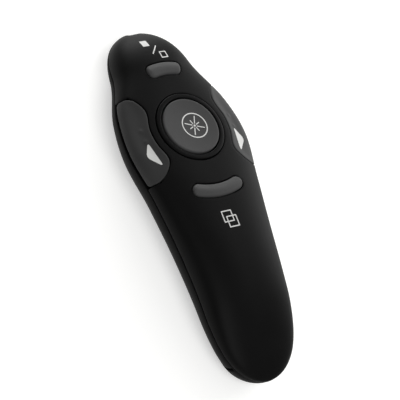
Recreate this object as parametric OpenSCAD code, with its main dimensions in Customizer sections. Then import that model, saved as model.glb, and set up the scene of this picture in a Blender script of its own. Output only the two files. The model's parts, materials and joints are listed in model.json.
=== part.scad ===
// A hand-held wireless presentation clicker with a laser pointer, in millimetres.
// +Y runs along the body towards the laser end, +X to the right of a hand that
// points with it, +Z up. The underside rests on z = 0, and the middle of the
// length lies at y = 0.

/* [Body form] */
// Overall length, tail to nose
body_l = 124; // [118:1:134]
// Thickness of the case walls
wall = 1.5; // [1.2:0.1:1.7]
// Full width near the tail
tail_w = 35.6; // [34:0.2:38]
// Full width at the narrow part of the grip
grip_w = 31.8; // [31:0.2:34]
// Full width where the grip meets the head
neck_w = 34.2; // [33:0.2:37]
// Full width just behind the round button
shoulder_w = 40.0; // [39:0.2:42]
// Full width of the head at its widest
head_w = 45.5; // [44:0.2:48]
// Full width in front of the round button
brow_w = 41.4; // [40:0.2:43]
// Full width behind the nose
muzzle_w = 29.4; // [28.6:0.2:32]
// Full width that the nose rounding starts from
nose_w = 26.3; // [26:0.2:28]
// Height of the crest line at the tail
tail_top = 10.3; // [10:0.1:11]
// Height of the crest line on the grip
grip_top = 19.8; // [19.6:0.1:20.6]
// Height of the crest line at its highest
crest_top = 21.4; // [21.2:0.1:22.4]
// Height of the crest line on the head
head_top = 19.0; // [18.8:0.1:19.6]
// Height of the crest line at the nose
nose_top = 15.1; // [14.9:0.1:15.6]
// Height of the parting line at the tail
tail_parting = 8.3; // [8:0.1:8.6]
// Height of the parting line on the grip
grip_parting = 12.3; // [12:0.1:12.6]
// Height of the parting line on the head
head_parting = 13.3; // [13.1:0.1:13.5]
// Height of the parting line at the nose
nose_parting = 5.3; // [5.2:0.1:5.6]
// Gap left between the two case halves
parting_gap = 0.1; // [0.05:0.05:0.2]

/* [Round button] */
// Distance of the round button's centre ahead of the middle
disc_y = 22.3; // [21.8:0.1:22.8]
// Radius of the round button
disc_r = 10.2; // [9.6:0.1:10.4]
// Radial width of the ring around the round button
ring_w = 1.75; // [1.4:0.05:1.9]
// How far the ring stands above the case
ring_rise = 0.35; // [0.2:0.05:0.5]
// Depth of the finger dish in the round button
disc_dish = 0.8; // [0.4:0.1:1.0]
// Gap around every button
button_gap = 0.25; // [0.2:0.05:0.3]
// Distance that every button travels
travel = 0.4; // [0.3:0.05:0.45]

/* [Small buttons] */
// Radial width of the curved button behind the round one
window_w = 4.4; // [4:0.1:4.8]
// Radius of the curved button's centre line about the round button
window_r = 23.2; // [23:0.1:23.6]
// Half of the angle that the curved button spans
window_a = 24; // [20:0.5:26]
// Radial width of the button in front of the round one
blank_w = 4.6; // [4.2:0.1:5]
// Radius of the front button's centre line about the round button
blank_r = 22.0; // [21.6:0.1:22.4]
// Half of the angle that the front button spans
blank_a = 16.5; // [14:0.5:18]
// How far the small buttons stand above the case
button_rise = 0.9; // [0.6:0.1:1.2]

/* [Side keys] */
// How far each side key reaches in beside the round button
key_waist_x = 14.8; // [14.6:0.1:15.2]
// How far each side key reaches in at its rear lobe
key_rear_x = 12.9; // [12.7:0.1:13.4]
// How far each side key reaches in at its front lobe
key_front_x = 13.4; // [13.2:0.1:13.8]
// Thickness of the side keys
key_t = 1.5; // [1.2:0.1:1.8]
// Height of the side keys' lower edge above the parting line
key_lift = 0.75; // [0.6:0.05:0.9]

/* [Battery] */
// Radius of an AAA cell
cell_r = 5.25; // [5.1:0.05:5.25]
// Length of an AAA cell with its terminal
cell_l = 44.5; // [44:0.1:44.5]
// Height of the cells' axes above the rest plane
cell_z = 7.7; // [7.6:0.1:7.8]
// Gap between the two cells
cell_gap = 0.3; // [0.2:0.05:0.4]
// Length of a pressed contact spring
spring_l = 3.0; // [2.6:0.1:3]
// Half of the battery door's width
door_half = 11.2; // [11.1:0.1:11.6]
// Gap around the battery door
door_gap = 0.2; // [0.15:0.05:0.3]
// Distance that the battery door slides
door_travel = 8; // [6:0.5:8]

/* [Circuit board] */
// Height of the board's upper face
board_z = 12.8; // [12.7:0.1:12.9]
// Thickness of the board
board_t = 1.2; // [1:0.1:1.2]
// Height of a push switch above the board
switch_h = 1.7; // [1.5:0.1:1.8]
// Side of a push switch
switch_s = 3.4; // [3:0.1:3.6]

/* [Laser] */
// Height of the laser's axis
laser_z = 8.6; // [8.4:0.1:8.7]
// Outer radius of the laser barrel
barrel_r = 2.8; // [2.6:0.1:2.8]
// Length of the laser barrel
barrel_l = 12.5; // [11:0.5:12.5]
// Outer radius of the bezel in the nose
bezel_r = 3.4; // [3.2:0.1:3.5]

/* [Power slider] */
// Distance that the power slider moves
slide_travel = 2.5; // [2:0.1:3]
// Length of the slider's knob along the body
knob_l = 5.0; // [4.4:0.2:5.4]
// Width of the slider's knob
knob_w = 4.0; // [3.6:0.1:4.2]

/* [Receiver] */
// Width of the receiver's cap along the body
cap_w = 15.0; // [14.4:0.2:15.6]
// Height of the receiver's cap
cap_h = 6.2; // [5.8:0.1:6.2]
// Width of a USB plug
plug_w = 12.0; // [12:0.1:12]
// Height of a USB plug
plug_h = 4.5; // [4.5:0.1:4.5]
// Length of the plug's metal sleeve outside the cap
plug_l = 12.0; // [11:0.5:12]

/* [Hidden] */
$fn = 48;

half_l = body_l / 2;
// The battery lies between the button behind the round one and the tail
plate_back = 2.1;
head_plate_y = disc_y - window_r - plate_back;
tail_plate_y = head_plate_y - cell_l - spring_l;
// Room left in the tail, and in the nose in front of the muzzle
tail_room = tail_plate_y + half_l;
muzzle_y = disc_y + 23.7;
nose_room = half_l - muzzle_y;
// Stations of the plan outline and of the two long curves
width_y = [-half_l, tail_plate_y + 8.5, head_plate_y - 17, disc_y - 20.3,
           disc_y - 4.3, disc_y + 9.7, muzzle_y, half_l];
width_v = [tail_w, grip_w, neck_w, shoulder_w, head_w, brow_w, muzzle_w, nose_w];
crest_y = [tail_plate_y - 11.5, tail_plate_y + 16.5, head_plate_y - 1, disc_y + 3.7, muzzle_y + 16];
crest_v = [tail_top, grip_top, crest_top, head_top, nose_top];
parting_y = [-half_l, head_plate_y - 21, disc_y - 2.3, half_l];
parting_v = [tail_parting, grip_parting, head_parting, nose_parting];
// Roundings of the two ends, in plan and in side view, as shares of the room there:
// the case is then as wide at the battery's tail contact, however near the tail that is
tail_round = 2.287 * tail_room;
tail_fall = 0.713 * tail_room;
nose_round = 0.906 * nose_room;
nose_fall = nose_room;
// Fullness of the upper and the lower cross-section
upper_power = 2.8;
lower_power = 2.2;
// The underside: where its flat part ends, how far it lifts, how deep it is cut flat
flat_rear = tail_plate_y + 4.5;
flat_front = disc_y + 3.7;
tail_lift = 1.6;
nose_lift = 3.0;
flat_cut = 0.7;
// Rings along the body and points around half of it
body_rings = 34;
arc_points = 18;
end_margin = 0.03;
eps = 0.01;

function lerp(a, b, t) = a + (b - a) * t;

// A smooth curve through stations, each with the mean slope of its neighbours
function slope_at(k, v, i) =
  let (a = max(i - 1, 0), b = min(i + 1, len(k) - 1)) (v[b] - v[a]) / (k[b] - k[a]);
function curve(k, v, y, i = 0) =
  (i < len(k) - 2 && y > k[i + 1]) ? curve(k, v, y, i + 1) :
  let (h = k[i + 1] - k[i], t = (y - k[i]) / h)
  (2 * t * t * t - 3 * t * t + 1) * v[i] + (t * t * t - 2 * t * t + t) * h * slope_at(k, v, i)
  + (3 * t * t - 2 * t * t * t) * v[i + 1] + (t * t * t - t * t) * h * slope_at(k, v, i + 1);
function round_end(q) = let (c = min(max(q, 0), 1)) sqrt(1 - (1 - c) * (1 - c));

// Half width, parting height, and the rise and the depth of the section at y.
// An inner skin is the same form made smaller by the wall t on every side.
function squeeze(y, t) = y * (half_l - t) / half_l;
function half_width(y, t = 0) =
  let (s = y * half_l / (half_l - t))
  (curve(width_y, width_v, y) / 2 - t)
  * round_end((half_l - s) / nose_round) * round_end((half_l + s) / tail_round);
function parting(y) = curve(parting_y, parting_v, y);
function crest(y) = curve(crest_y, crest_v, y);
function fall(y, t = 0) =
  let (s = y * half_l / (half_l - t))
  round_end((half_l - s) / nose_fall) * round_end((half_l + s) / tail_fall);
function rise(y, t = 0) = max(crest(y) - parting(y) - t, 0.4) * fall(y, t);
function keel(y) =
  -flat_cut + tail_lift * pow(max((flat_rear - y) / (flat_rear + half_l), 0), 2)
  + nose_lift * pow(max((y - flat_front) / (half_l - flat_front), 0), 2);
function depth(y, t = 0) = (parting(y) - keel(y) - t) * fall(y, t);
// Height of the upper skin over a point of the plan
function skin(x, y, t = 0) =
  parting(y) + rise(y, t)
  * pow(max(1 - pow(abs(x) / half_width(y, t), upper_power), 0), 1 / upper_power);

function ring_y(i, n) = (half_l - end_margin) * sin(lerp(-90, 90, i / n));
function upper_point(y, a, t) =
  let (c = cos(a), s = sin(a))
  [sign(c) * half_width(y, t) * pow(abs(c), 2 / upper_power), y,
   parting(y) + parting_gap / 2 + rise(y, t) * pow(s, 2 / upper_power)];
function lower_point(y, a, t, gap) =
  let (c = cos(a), s = sin(a))
  [sign(c) * half_width(y, t) * pow(abs(c), 2 / lower_power), y,
   max(parting(y) - gap - (depth(y, t) - gap) * pow(s, 2 / lower_power), t)];

// A closed solid between two grids of points with the same rows and columns
module slab(top, bottom, flip = false) {
  n = len(top);
  m = len(top[0]);
  points = [for (row = top) each row, for (row = bottom) each row];
  function id(i, j) = i * m + j;
  faces = [
    for (i = [0 : n - 2], j = [0 : m - 2]) each [
      [id(i, j), id(i + 1, j), id(i + 1, j + 1)], [id(i, j), id(i + 1, j + 1), id(i, j + 1)],
      [n * m + id(i, j), n * m + id(i + 1, j + 1), n * m + id(i + 1, j)],
      [n * m + id(i, j), n * m + id(i, j + 1), n * m + id(i + 1, j + 1)]],
    for (i = [0 : n - 2]) each [
      [id(i, 0), n * m + id(i, 0), n * m + id(i + 1, 0)], [id(i, 0), n * m + id(i + 1, 0), id(i + 1, 0)],
      [id(i, m - 1), n * m + id(i + 1, m - 1), n * m + id(i, m - 1)],
      [id(i, m - 1), id(i + 1, m - 1), n * m + id(i + 1, m - 1)]],
    for (j = [0 : m - 2]) each [
      [id(0, j), n * m + id(0, j + 1), n * m + id(0, j)], [id(0, j), id(0, j + 1), n * m + id(0, j + 1)],
      [id(n - 1, j), n * m + id(n - 1, j), n * m + id(n - 1, j + 1)],
      [id(n - 1, j), n * m + id(n - 1, j + 1), id(n - 1, j + 1)]]];
  polyhedron(points, flip ? [for (f = faces) [f[2], f[1], f[0]]] : faces);
}

// The skins: grids over the length and half of the way round, at depth t
function upper_grid(t) =
  [for (i = [0 : body_rings]) [for (j = [0 : arc_points])
    upper_point(squeeze(ring_y(i, body_rings), t), 180 * j / arc_points, t)]];
function lower_grid(t, gap) =
  [for (i = [0 : body_rings]) [for (j = [0 : arc_points])
    lower_point(squeeze(ring_y(i, body_rings), t), 180 * (1 - j / arc_points), t, gap)]];
module upper_skin() slab(upper_grid(0), upper_grid(wall), true);
module lower_skin(gap) slab(lower_grid(0, gap), lower_grid(wall, gap), true);
// Height of the underside over a point of the plan
function underside(x, y, t = 0) =
  max(parting(y) - depth(y, t) * pow(max(1 - pow(abs(x) / half_width(y, t), lower_power), 0), 1 / lower_power), t);

// ---- Places of what sits in the case, all from the sizes above ----
board_under = board_z - board_t;
switch_top = board_z + switch_h;
plunger_r = 0.9;
plunger_top = switch_top + travel;
plunger_l = 1.1;
running_gap = 0.06;
stem_r = 1.1;
key_switch_x = 16.2;
key_switch_y = disc_y - 3.8;
window_switch_y = disc_y - window_r + 1.25;
blank_switch_y = disc_y + blank_r - 1.6;
laser_spot = [0, disc_y];
back_spot = [-key_switch_x, key_switch_y];
forward_spot = [key_switch_x, key_switch_y];
blank_spot = [0, blank_switch_y];
window_spot = [0, window_switch_y];
bezel_rear = half_l - 4.8;
barrel_front = bezel_rear - 0.3;
barrel_rear = barrel_front - barrel_l;

// ---- The round button and its ring, square to the case where they sit ----
ring_in = disc_r + button_gap;
ring_out = ring_in + ring_w;
disc_z = skin(0, disc_y);
disc_tilt = atan((skin(0, disc_y + ring_out) - skin(0, disc_y - ring_out)) / (2 * ring_out));
disc_rise = 0.5;
ledge_z = -wall - 0.4;
ledge_t = 0.8;
ledge_lap = 0.8;
flange_t = 0.5;
module at_disc() translate([0, disc_y, disc_z]) rotate([disc_tilt, 0, 0]) children();
module tube(r_out, r_in, low, high) {
  difference() {
    translate([0, 0, low]) cylinder(r = r_out, h = high - low, $fn = 96);
    translate([0, 0, low - 1]) cylinder(r = r_in, h = high - low + 2, $fn = 96);
  }
}
module button_ring() {
  color("#35363a") at_disc()
    rotate_extrude($fn = 96)
      polygon([[ring_in, ledge_z + 0.05], [ring_out, ledge_z + 0.05], [ring_out, ring_rise - 0.3],
               [ring_out - 0.4, ring_rise], [ring_in + 0.3, ring_rise], [ring_in, ring_rise - 0.2]]);
}
module laser_button() {
  dish_r = (disc_r * disc_r / disc_dish + disc_dish) / 2;
  color("#5a5b5f") {
    at_disc() {
      difference() {
        translate([0, 0, -wall]) cylinder(r = disc_r, h = wall + disc_rise, $fn = 96);
        translate([0, 0, disc_rise - disc_dish + dish_r]) sphere(r = dish_r, $fn = 96);
      }
      translate([0, 0, ledge_z - flange_t]) cylinder(r = ring_in - 2 * button_gap, h = flange_t, $fn = 96);
      translate([0, 0, ledge_z - eps]) cylinder(r = disc_r - 1, h = -ledge_z - wall + 2 * eps, $fn = 96);
    }
    translate([0, disc_y, plunger_top]) cylinder(r = stem_r, h = disc_z + ledge_z - plunger_top - eps);
  }
}

// ---- The small curved buttons: bands about the round button's centre ----
band_rows = 16;
band_columns = 6;
band_flange = 0.6;
function band_reach(r, a, grow) = a + grow / r * 180 / PI;
function band_half(s, w, corner) =
  s >= corner ? w / 2 : w / 2 - corner + sqrt(max(corner * corner - (corner - s) * (corner - s), 0));
function band_angle(i, r, a, grow) = band_reach(r, a, grow) * 0.999 * sin(lerp(-90, 90, i / band_rows));
// Distance of row i from the nearer tip of the band
function band_tip(i, r, a, grow) =
  (band_reach(r, a, grow) - abs(band_angle(i, r, a, grow))) * PI / 180 * r;
function band_plan(i, v, r, w, a, corner, grow, mid) =
  let (f = mid + band_angle(i, r, a, grow),
       h = band_half(band_tip(i, r, a, grow), w + 2 * grow, corner + grow))
  [(r + v * h) * cos(f), disc_y + (r + v * h) * sin(f)];
function edge_drop(s, e) = let (q = min(s / e, 1)) (1 - q) * (1 - q);
function band_grid(r, w, a, corner, grow, mid, up, soft) =
  [for (i = [0 : band_rows]) [for (j = [0 : band_columns])
    let (v = 2 * j / band_columns - 1,
         p = band_plan(i, v, r, w, a, corner, grow, mid),
         near = min((1 - abs(v)) * w / 2, band_tip(i, r, a, grow)))
    [p[0], p[1], skin(p[0], p[1]) + up - soft * edge_drop(near, 1.2)]]];
module band(r, w, a, corner, grow, mid, low, high, soft = 0) {
  slab(band_grid(r, w, a, corner, grow, mid, high, soft), band_grid(r, w, a, corner, grow, mid, low, 0));
}
module band_hole(r, w, a, corner, grow, mid) {
  linear_extrude(height = crest_top + 5)
    polygon([for (i = [0 : band_rows]) band_plan(i, -1, r, w, a, corner, grow, mid),
             for (i = [band_rows : -1 : 0]) band_plan(i, 1, r, w, a, corner, grow, mid)]);
}
window_corner = window_w / 2;
blank_corner = 1.6;
band_stop = -wall - button_gap;
module band_button(r, w, a, corner, mid, spot) {
  band(r, w, a, corner, 0, mid, band_stop - 0.2, button_rise, 0.45);
  band(r, w, a, corner, band_flange, mid, band_stop - 0.4, band_stop);
  translate([spot[0], spot[1], plunger_top])
    cylinder(r = stem_r, h = max(skin(spot[0], spot[1]) + band_stop - 0.2 - plunger_top, 0.2));
}
module window_button() color("#54565a") band_button(window_r, window_w, window_a, window_corner, 270, window_spot);
module blank_screen_button() color("#54565a") band_button(blank_r, blank_w, blank_a, blank_corner, 90, blank_spot);

// ---- The side keys: from a waved inner edge out to the parting line ----
key_low = disc_y - 16.1;
key_high = disc_y + 14.3;
key_rows = 20;
key_columns = 9;
key_y = [for (d = [-17.1, -13.8, -9.6, -3.7, 1.7, 8.1, 12.7, 15.9]) disc_y + d];
key_v = [key_rear_x + 6.7, key_rear_x + 2.4, key_rear_x, key_waist_x - 0.3, key_waist_x,
         key_front_x, key_front_x + 1.8, key_front_x + 4.8];
function key_edge(y) = curve(key_y, key_v, y);
function key_row(i) = lerp(key_low, key_high, (1 - cos(180 * i / key_rows)) / 2);
function key_section(y, t) =
  [for (j = [0 : key_columns])
    let (w = half_width(y, t), h = rise(y, t),
         first = acos(pow(min(key_edge(y) / w, 0.995), upper_power / 2)),
         last = asin(pow(min(key_lift / h, 1), upper_power / 2)),
         a = lerp(first, min(last, first - 2), j / key_columns))
    [w * pow(cos(a), 2 / upper_power), y, parting(y) + h * pow(sin(a), 2 / upper_power)]];
module side_key(spot) {
  slab([for (i = [0 : key_rows]) key_section(key_row(i), 0)],
       [for (i = [0 : key_rows]) key_section(key_row(i), key_t)]);
  translate([abs(spot[0]), spot[1], plunger_top])
    cylinder(r = stem_r, h = skin(spot[0], spot[1]) - key_t / 2 - plunger_top);
}
module key_hole() {
  translate([0, 0, head_parting / 2])
    linear_extrude(height = crest_top)
      polygon([for (i = [0 : key_rows])
                 let (y = lerp(key_low - button_gap, key_high + button_gap, i / key_rows))
                 [key_edge(y) - button_gap, y],
               [head_w, key_high + button_gap], [head_w, key_low - button_gap]]);
}
module page_forward_key() color("#6d6f73") side_key(forward_spot);
module page_back_key() color("#3c3d41") mirror([1, 0, 0]) side_key(forward_spot);

// ---- Screws through the underside, and what they go into ----
front_screw = [11.5, disc_y + 13.2];
rear_screw = [7.5, disc_y - 16.1];
screw_r = 1.0;
screw_head_r = 1.9;
screw_head_h = 1.2;
pilot_gap = 0.03;
boss_r = 2.3;
boss_gap = 0.1;
seat_depth = 2.2;
seat_t = 1.4;
function screw_spots() = [for (p = [front_screw, rear_screw], s = [-1, 1]) [s * p[0], p[1]]];
function seat_z(p) = underside(p[0], p[1]) + seat_depth;
function boss_z(p) = seat_z(p) + seat_t;
function screw_tip(p) = skin(p[0], p[1]) - wall - 2.5;
module case_screws() {
  color("#9a9a98") for (p = screw_spots()) translate([p[0], p[1], 0]) {
    difference() {
      translate([0, 0, seat_z(p) - screw_head_h]) cylinder(r = screw_head_r, h = screw_head_h, $fn = 32);
      for (turn = [0, 90]) rotate(turn)
        translate([-1.1, -0.25, seat_z(p) - screw_head_h - 1]) cube([2.2, 0.5, 1.7]);
    }
    translate([0, 0, seat_z(p) - eps]) cylinder(r = screw_r, h = screw_tip(p) - 0.5 - seat_z(p), $fn = 32);
  }
}
board_screw_r = 0.9;
board_head_r = 1.7;
board_head_h = 1.0;
post_r = 2.0;
post_spots = [[0, disc_y + 10.9], [-13.5, disc_y - 10.3], [12.5, disc_y + 7.9]];
lower_boss_r = boss_r + 0.6;
// Lowest height at which a post of radius r stays inside the wall at p
function post_foot(p, r) =
  max(underside(abs(p[0]) + r, p[1]), underside(abs(p[0]) + 0.7 * r, p[1] + 0.7 * r)) + 0.15;
module board_screws() {
  color("#a8a8a6") for (p = post_spots) translate([p[0], p[1], 0]) {
    difference() {
      translate([0, 0, board_z]) cylinder(r = board_head_r, h = board_head_h, $fn = 32);
      for (turn = [0, 90]) rotate(turn)
        translate([-0.9, -0.2, board_z + board_head_h - 0.5]) cube([1.8, 0.4, 1]);
    }
    translate([0, 0, board_under - 5]) cylinder(r = board_screw_r, h = board_t + 5 + eps, $fn = 32);
  }
}

// ---- The battery compartment ----
plate_t = 0.4;
cell_x = cell_r + cell_gap / 2;
nub_l = 1.0;
nub_r = 1.9;
wall_t = 1.0;
plate_w = 8.0;
plate_low = 4.2;
plate_high = 11.4;
door_front = head_plate_y - 2.2;
bulkhead_half = 8.6;
rib_half = 11;
module cell() {
  cylinder(r = cell_r, h = cell_l - nub_l, $fn = 64);
  translate([0, 0, cell_l - nub_l - eps]) cylinder(r = nub_r, h = nub_l + eps, $fn = 32);
}
module left_cell() color("#b98a4a") translate([-cell_x, head_plate_y - cell_l, cell_z]) rotate([-90, 0, 0]) cell();
module right_cell() color("#b98a4a") translate([cell_x, tail_plate_y + cell_l, cell_z]) rotate([90, 0, 0]) cell();
module contact_plate(x, y, w) translate([x - w / 2, y, plate_low]) cube([w, plate_t, plate_high - plate_low]);
// The cells press on the faces of the plates at head_plate_y and tail_plate_y
module positive_contact() color("#c8c8c4") contact_plate(-cell_x, head_plate_y, plate_w);
module negative_contact() color("#c8c8c4") contact_plate(cell_x, head_plate_y, plate_w);
module bridge_contact() {
  color("#c8c8c4") translate([-bulkhead_half + 0.3, tail_plate_y - plate_t, plate_low + 0.6])
    cube([2 * bulkhead_half - 0.6, plate_t, plate_high - plate_low - 0.6]);
}
spring_turns = 3;
spring_wire = 0.5;
spring_wide = 3.4;
spring_narrow = 1.9;
spring_sides = 6;
spring_steps = 14;
// One unbroken wire wound as a cone, as rings of points along its centre line
function spring_centre(q) =
  let (r = lerp(spring_wide, spring_narrow, q), f = 360 * spring_turns * q,
       low = spring_wire / 2 + 0.02, high = spring_l - spring_wire / 2 - 0.02)
  [r * cos(f), r * sin(f), lerp(low, high, q)];
module contact_spring() {
  rings = spring_turns * spring_steps;
  points = [for (i = [0 : rings], k = [0 : spring_sides - 1])
    let (c = spring_centre(i / rings), f = 360 * spring_turns * i / rings, a = 360 * k / spring_sides,
         out = spring_wire / 2 * cos(a), up = spring_wire / 2 * sin(a))
    [c[0] + out * cos(f), c[1] + out * sin(f), c[2] + up]];
  function id(i, k) = i * spring_sides + k % spring_sides;
  polyhedron(points, [
    [for (k = [spring_sides - 1 : -1 : 0]) id(0, k)],
    [for (k = [0 : spring_sides - 1]) id(rings, k)],
    for (i = [0 : rings - 1], k = [0 : spring_sides - 1]) each [
      [id(i, k), id(i + 1, k + 1), id(i + 1, k)], [id(i, k), id(i, k + 1), id(i + 1, k + 1)]]]);
}
module head_spring() {
  color("#d0d0cc") translate([cell_x, head_plate_y, cell_z]) rotate([90, 0, 0]) contact_spring();
}
module tail_spring() {
  color("#d0d0cc") translate([-cell_x, tail_plate_y, cell_z]) rotate([-90, 0, 0]) contact_spring();
}

// ---- The laser in the nose, its axis along +Y ----
bezel_t = 0.9;
bezel_slope = 25;
barrel_bore = 2.0;
diode_r = 1.65;
cradle_t = 1.6;
cradle_half = 4.4;
cradle_spots = [barrel_rear + 2, barrel_front - 3.4];
module along_y(y, z = laser_z) translate([0, y, z]) rotate([-90, 0, 0]) children();
module laser_barrel() {
  color("#b08d4a") along_y(barrel_rear) difference() {
    cylinder(r = barrel_r, h = barrel_l);
    translate([0, 0, -1]) cylinder(r = barrel_bore, h = barrel_l + 2);
  }
}
module laser_lens() {
  color("#cfe0e6") along_y(barrel_front - 1.6) intersection() {
    cylinder(r = barrel_bore - 0.05, h = 1.4);
    translate([0, 0, 1.4 - 4]) sphere(r = 4, $fn = 64);
  }
}
module laser_diode() {
  color("#a8a8a4") {
    along_y(barrel_rear + 0.2) cylinder(r = barrel_bore - 0.05, h = 1);
    along_y(barrel_rear + 1.2 - eps) cylinder(r = diode_r, h = 2.2);
    for (s = [-1, 1]) translate([s, 0, 0]) along_y(barrel_rear - 1.6) cylinder(r = 0.22, h = 1.8 + eps, $fn = 16);
  }
}
module laser_driver_board() {
  color("#1f6b45") difference() {
    translate([-3.6, barrel_rear - 1.3, laser_z - 2.4]) cube([7.2, 1.0, 4.8]);
    for (s = [-1, 1]) translate([s, 0, 0]) along_y(barrel_rear - 3) cylinder(r = 0.26, h = 4, $fn = 16);
  }
}
module laser_bezel() {
  color("#202124") difference() {
    along_y(bezel_rear) cylinder(r = bezel_r, h = half_l - bezel_rear + 1, $fn = 64);
    along_y(bezel_rear - 1) cylinder(r = bezel_r - bezel_t, h = 10, $fn = 64);
    // The front is cut off along the slope of the nose
    translate([0, half_l - 0.25, parting(half_l)]) rotate([bezel_slope, 0, 0])
      translate([-10, 0, -12]) cube([20, 20, 40]);
  }
}
module laser_window() {
  color("#3a1416") along_y(bezel_rear + 0.6) cylinder(r = bezel_r - bezel_t - 0.05, h = 0.8, $fn = 64);
}

// ---- The circuit board and what it carries ----
board_rear = window_switch_y - switch_s / 2 - 0.15;
board_front = blank_switch_y + switch_s / 2 + 2.6;
board_half = key_switch_x + 1.8;
board_outline = [[board_half - 5.6, board_rear], [board_half - 5.6, disc_y - 15.3],
                 [board_half - 2.2, disc_y - 12.3], [board_half, disc_y - 9.3],
                 [board_half, disc_y + 5.7], [board_half - 2.8, disc_y + 14.7],
                 [board_half - 9.4, board_front]];
module circuit_board() {
  color("#1f6b45") difference() {
    translate([0, 0, board_under]) linear_extrude(height = board_t)
      polygon([for (p = board_outline) p, for (i = [len(board_outline) - 1 : -1 : 0])
               [-board_outline[i][0], board_outline[i][1]]]);
    for (p = screw_spots()) translate([p[0], p[1], board_under - 1])
      cylinder(r = boss_r + 0.3, h = board_t + 2);
    for (p = post_spots) translate([p[0], p[1], board_under - 1])
      cylinder(r = board_screw_r + 0.1, h = board_t + 2, $fn = 32);
  }
}
module push_switch(p) {
  color("#2a2b2e") translate([p[0], p[1], board_z]) difference() {
    translate([-switch_s / 2, -switch_s / 2, 0]) cube([switch_s, switch_s, switch_h]);
    translate([0, 0, 0.3]) cylinder(r = plunger_r + running_gap, h = switch_h, $fn = 32);
  }
}
module plunger(p) {
  color("#d8d8d4") translate([p[0], p[1], plunger_top - plunger_l])
    cylinder(r = plunger_r, h = plunger_l, $fn = 32);
}
module laser_switch() push_switch(laser_spot);
module page_back_switch() push_switch(back_spot);
module page_forward_switch() push_switch(forward_spot);
module blank_screen_switch() push_switch(blank_spot);
module window_switch() push_switch(window_spot);
module laser_plunger() plunger(laser_spot);
module page_back_plunger() plunger(back_spot);
module page_forward_plunger() plunger(forward_spot);
module blank_screen_plunger() plunger(blank_spot);
module window_plunger() plunger(window_spot);
chip_size = [5, 5, 0.9];
crystal_size = [3.2, 2.5, 0.8];
capacitor_size = [1.0, 1.8, 0.7];
capacitor_pitch = 4.8;
// Corners of the small parts on the board
chip_spot = [4.2, disc_y - 10.7, board_z];
crystal_spot = [-8.0, disc_y - 9.9, board_z];
capacitor_y = disc_y + 7.2;
module radio_chip() color("#1c1d20") translate(chip_spot) cube(chip_size);
module crystal() color("#b9bab8") translate(crystal_spot) cube(crystal_size);
module capacitors() {
  color("#a58a62") for (i = [-1.5 : 1.5])
    translate([i * capacitor_pitch - capacitor_size[0] / 2, capacitor_y, board_z]) cube(capacitor_size);
}

// ---- The power slider in the underside ----
slider_x = -4.5;
slider_y = disc_y - 8.5;
knob_low = 0.35;
flange_low = wall + 0.2;
slider_flange_t = 0.6;
lever_s = 1.0;
lever_low = 5.8;
lever_high = 9.4;
stem_s = 3.2;
stem_high = 7.6;
slide_body = [3.6, 9.0, 3.2];
slide_low = board_under - slide_body[2];
module power_slider() {
  color("#2b2c30") translate([slider_x, slider_y, 0]) difference() {
    union() {
      translate([-knob_w / 2, -knob_l / 2, knob_low]) cube([knob_w, knob_l, flange_low - knob_low + eps]);
      translate([-knob_w / 2 - 0.9, -knob_l / 2 - 1.2, flange_low])
        cube([knob_w + 1.8, knob_l + 2.4, slider_flange_t]);
      translate([-stem_s / 2, -stem_s / 2, flange_low + slider_flange_t - eps])
        cube([stem_s, stem_s, stem_high - flange_low - slider_flange_t + eps]);
    }
    for (i = [-2 : 2]) translate([-knob_w, i * 0.9 - 0.18, knob_low - 1]) cube([2 * knob_w, 0.36, 1.3]);
    translate([-lever_s / 2 - running_gap, -lever_s / 2 - running_gap, lever_low])
      cube([lever_s + 2 * running_gap, lever_s + 2 * running_gap, stem_high]);
  }
}
module power_lever() {
  color("#d8d8d4") translate([slider_x - lever_s / 2, slider_y - lever_s / 2, lever_low + 0.05])
    cube([lever_s, lever_s, lever_high - lever_low - 0.05]);
}
module power_switch() {
  color("#9a9a98") difference() {
    translate([slider_x - slide_body[0] / 2, slider_y + slide_travel / 2 - slide_body[1] / 2, slide_low])
      cube(slide_body);
    translate([slider_x - lever_s / 2 - 0.15, slider_y - lever_s / 2 - 0.2, slide_low - 1])
      cube([lever_s + 0.3, lever_s + slide_travel + 0.4, lever_high - slide_low + 1.1]);
  }
}

// ---- The USB receiver, which lies across the head and leaves to the right ----
bay_y = disc_y - 3.9;
bay_z = 7.3;
bay_t = 1.0;
bay_gap = 0.25;
bay_x = 1.0;
bay_reach = 15.0;
bay_foot = 8.0;
cap_x = 14.5;
sleeve_x = cap_x - plug_l;
sleeve_t = 0.3;
tongue_t = 1.6;
tongue_top = bay_z + 0.1;
contact_t = 0.12;
cap_rows = 10;
cap_columns = 6;
function side_x(y, z) =
  half_width(y) * pow(1 - pow((parting(y) - z) / depth(y), lower_power), 1 / lower_power);
module receiver_cap() {
  low = bay_z - cap_h / 2;
  ys = [for (i = [0 : cap_rows]) bay_y + cap_w * (i / cap_rows - 0.5)];
  zs = [for (j = [0 : cap_columns]) low + cap_h * j / cap_columns];
  color("#2b2c30")
    slab([for (y = ys) [for (z = zs) [side_x(y, z), y, z]]], [for (y = ys) [for (z = zs) [cap_x, y, z]]], true);
}
module receiver_plug_sleeve() {
  color("#c4c5c6") translate([sleeve_x, bay_y - plug_w / 2, bay_z - plug_h / 2]) difference() {
    cube([plug_l, plug_w, plug_h]);
    translate([-1, sleeve_t, sleeve_t]) cube([plug_l + 2, plug_w - 2 * sleeve_t, plug_h - 2 * sleeve_t]);
    for (s = [-1, 1]) translate([plug_l * 0.42, plug_w / 2 + s * 2.8 - 1.1, -1]) cube([2.2, 2.2, plug_h + 2]);
  }
}
module receiver_tongue() {
  color("#f0f0ee") translate([sleeve_x + 0.4, bay_y - plug_w / 2 + sleeve_t + 0.1, tongue_top - tongue_t])
    cube([plug_l - 0.4, plug_w - 2 * sleeve_t - 0.2, tongue_t]);
}
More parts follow.
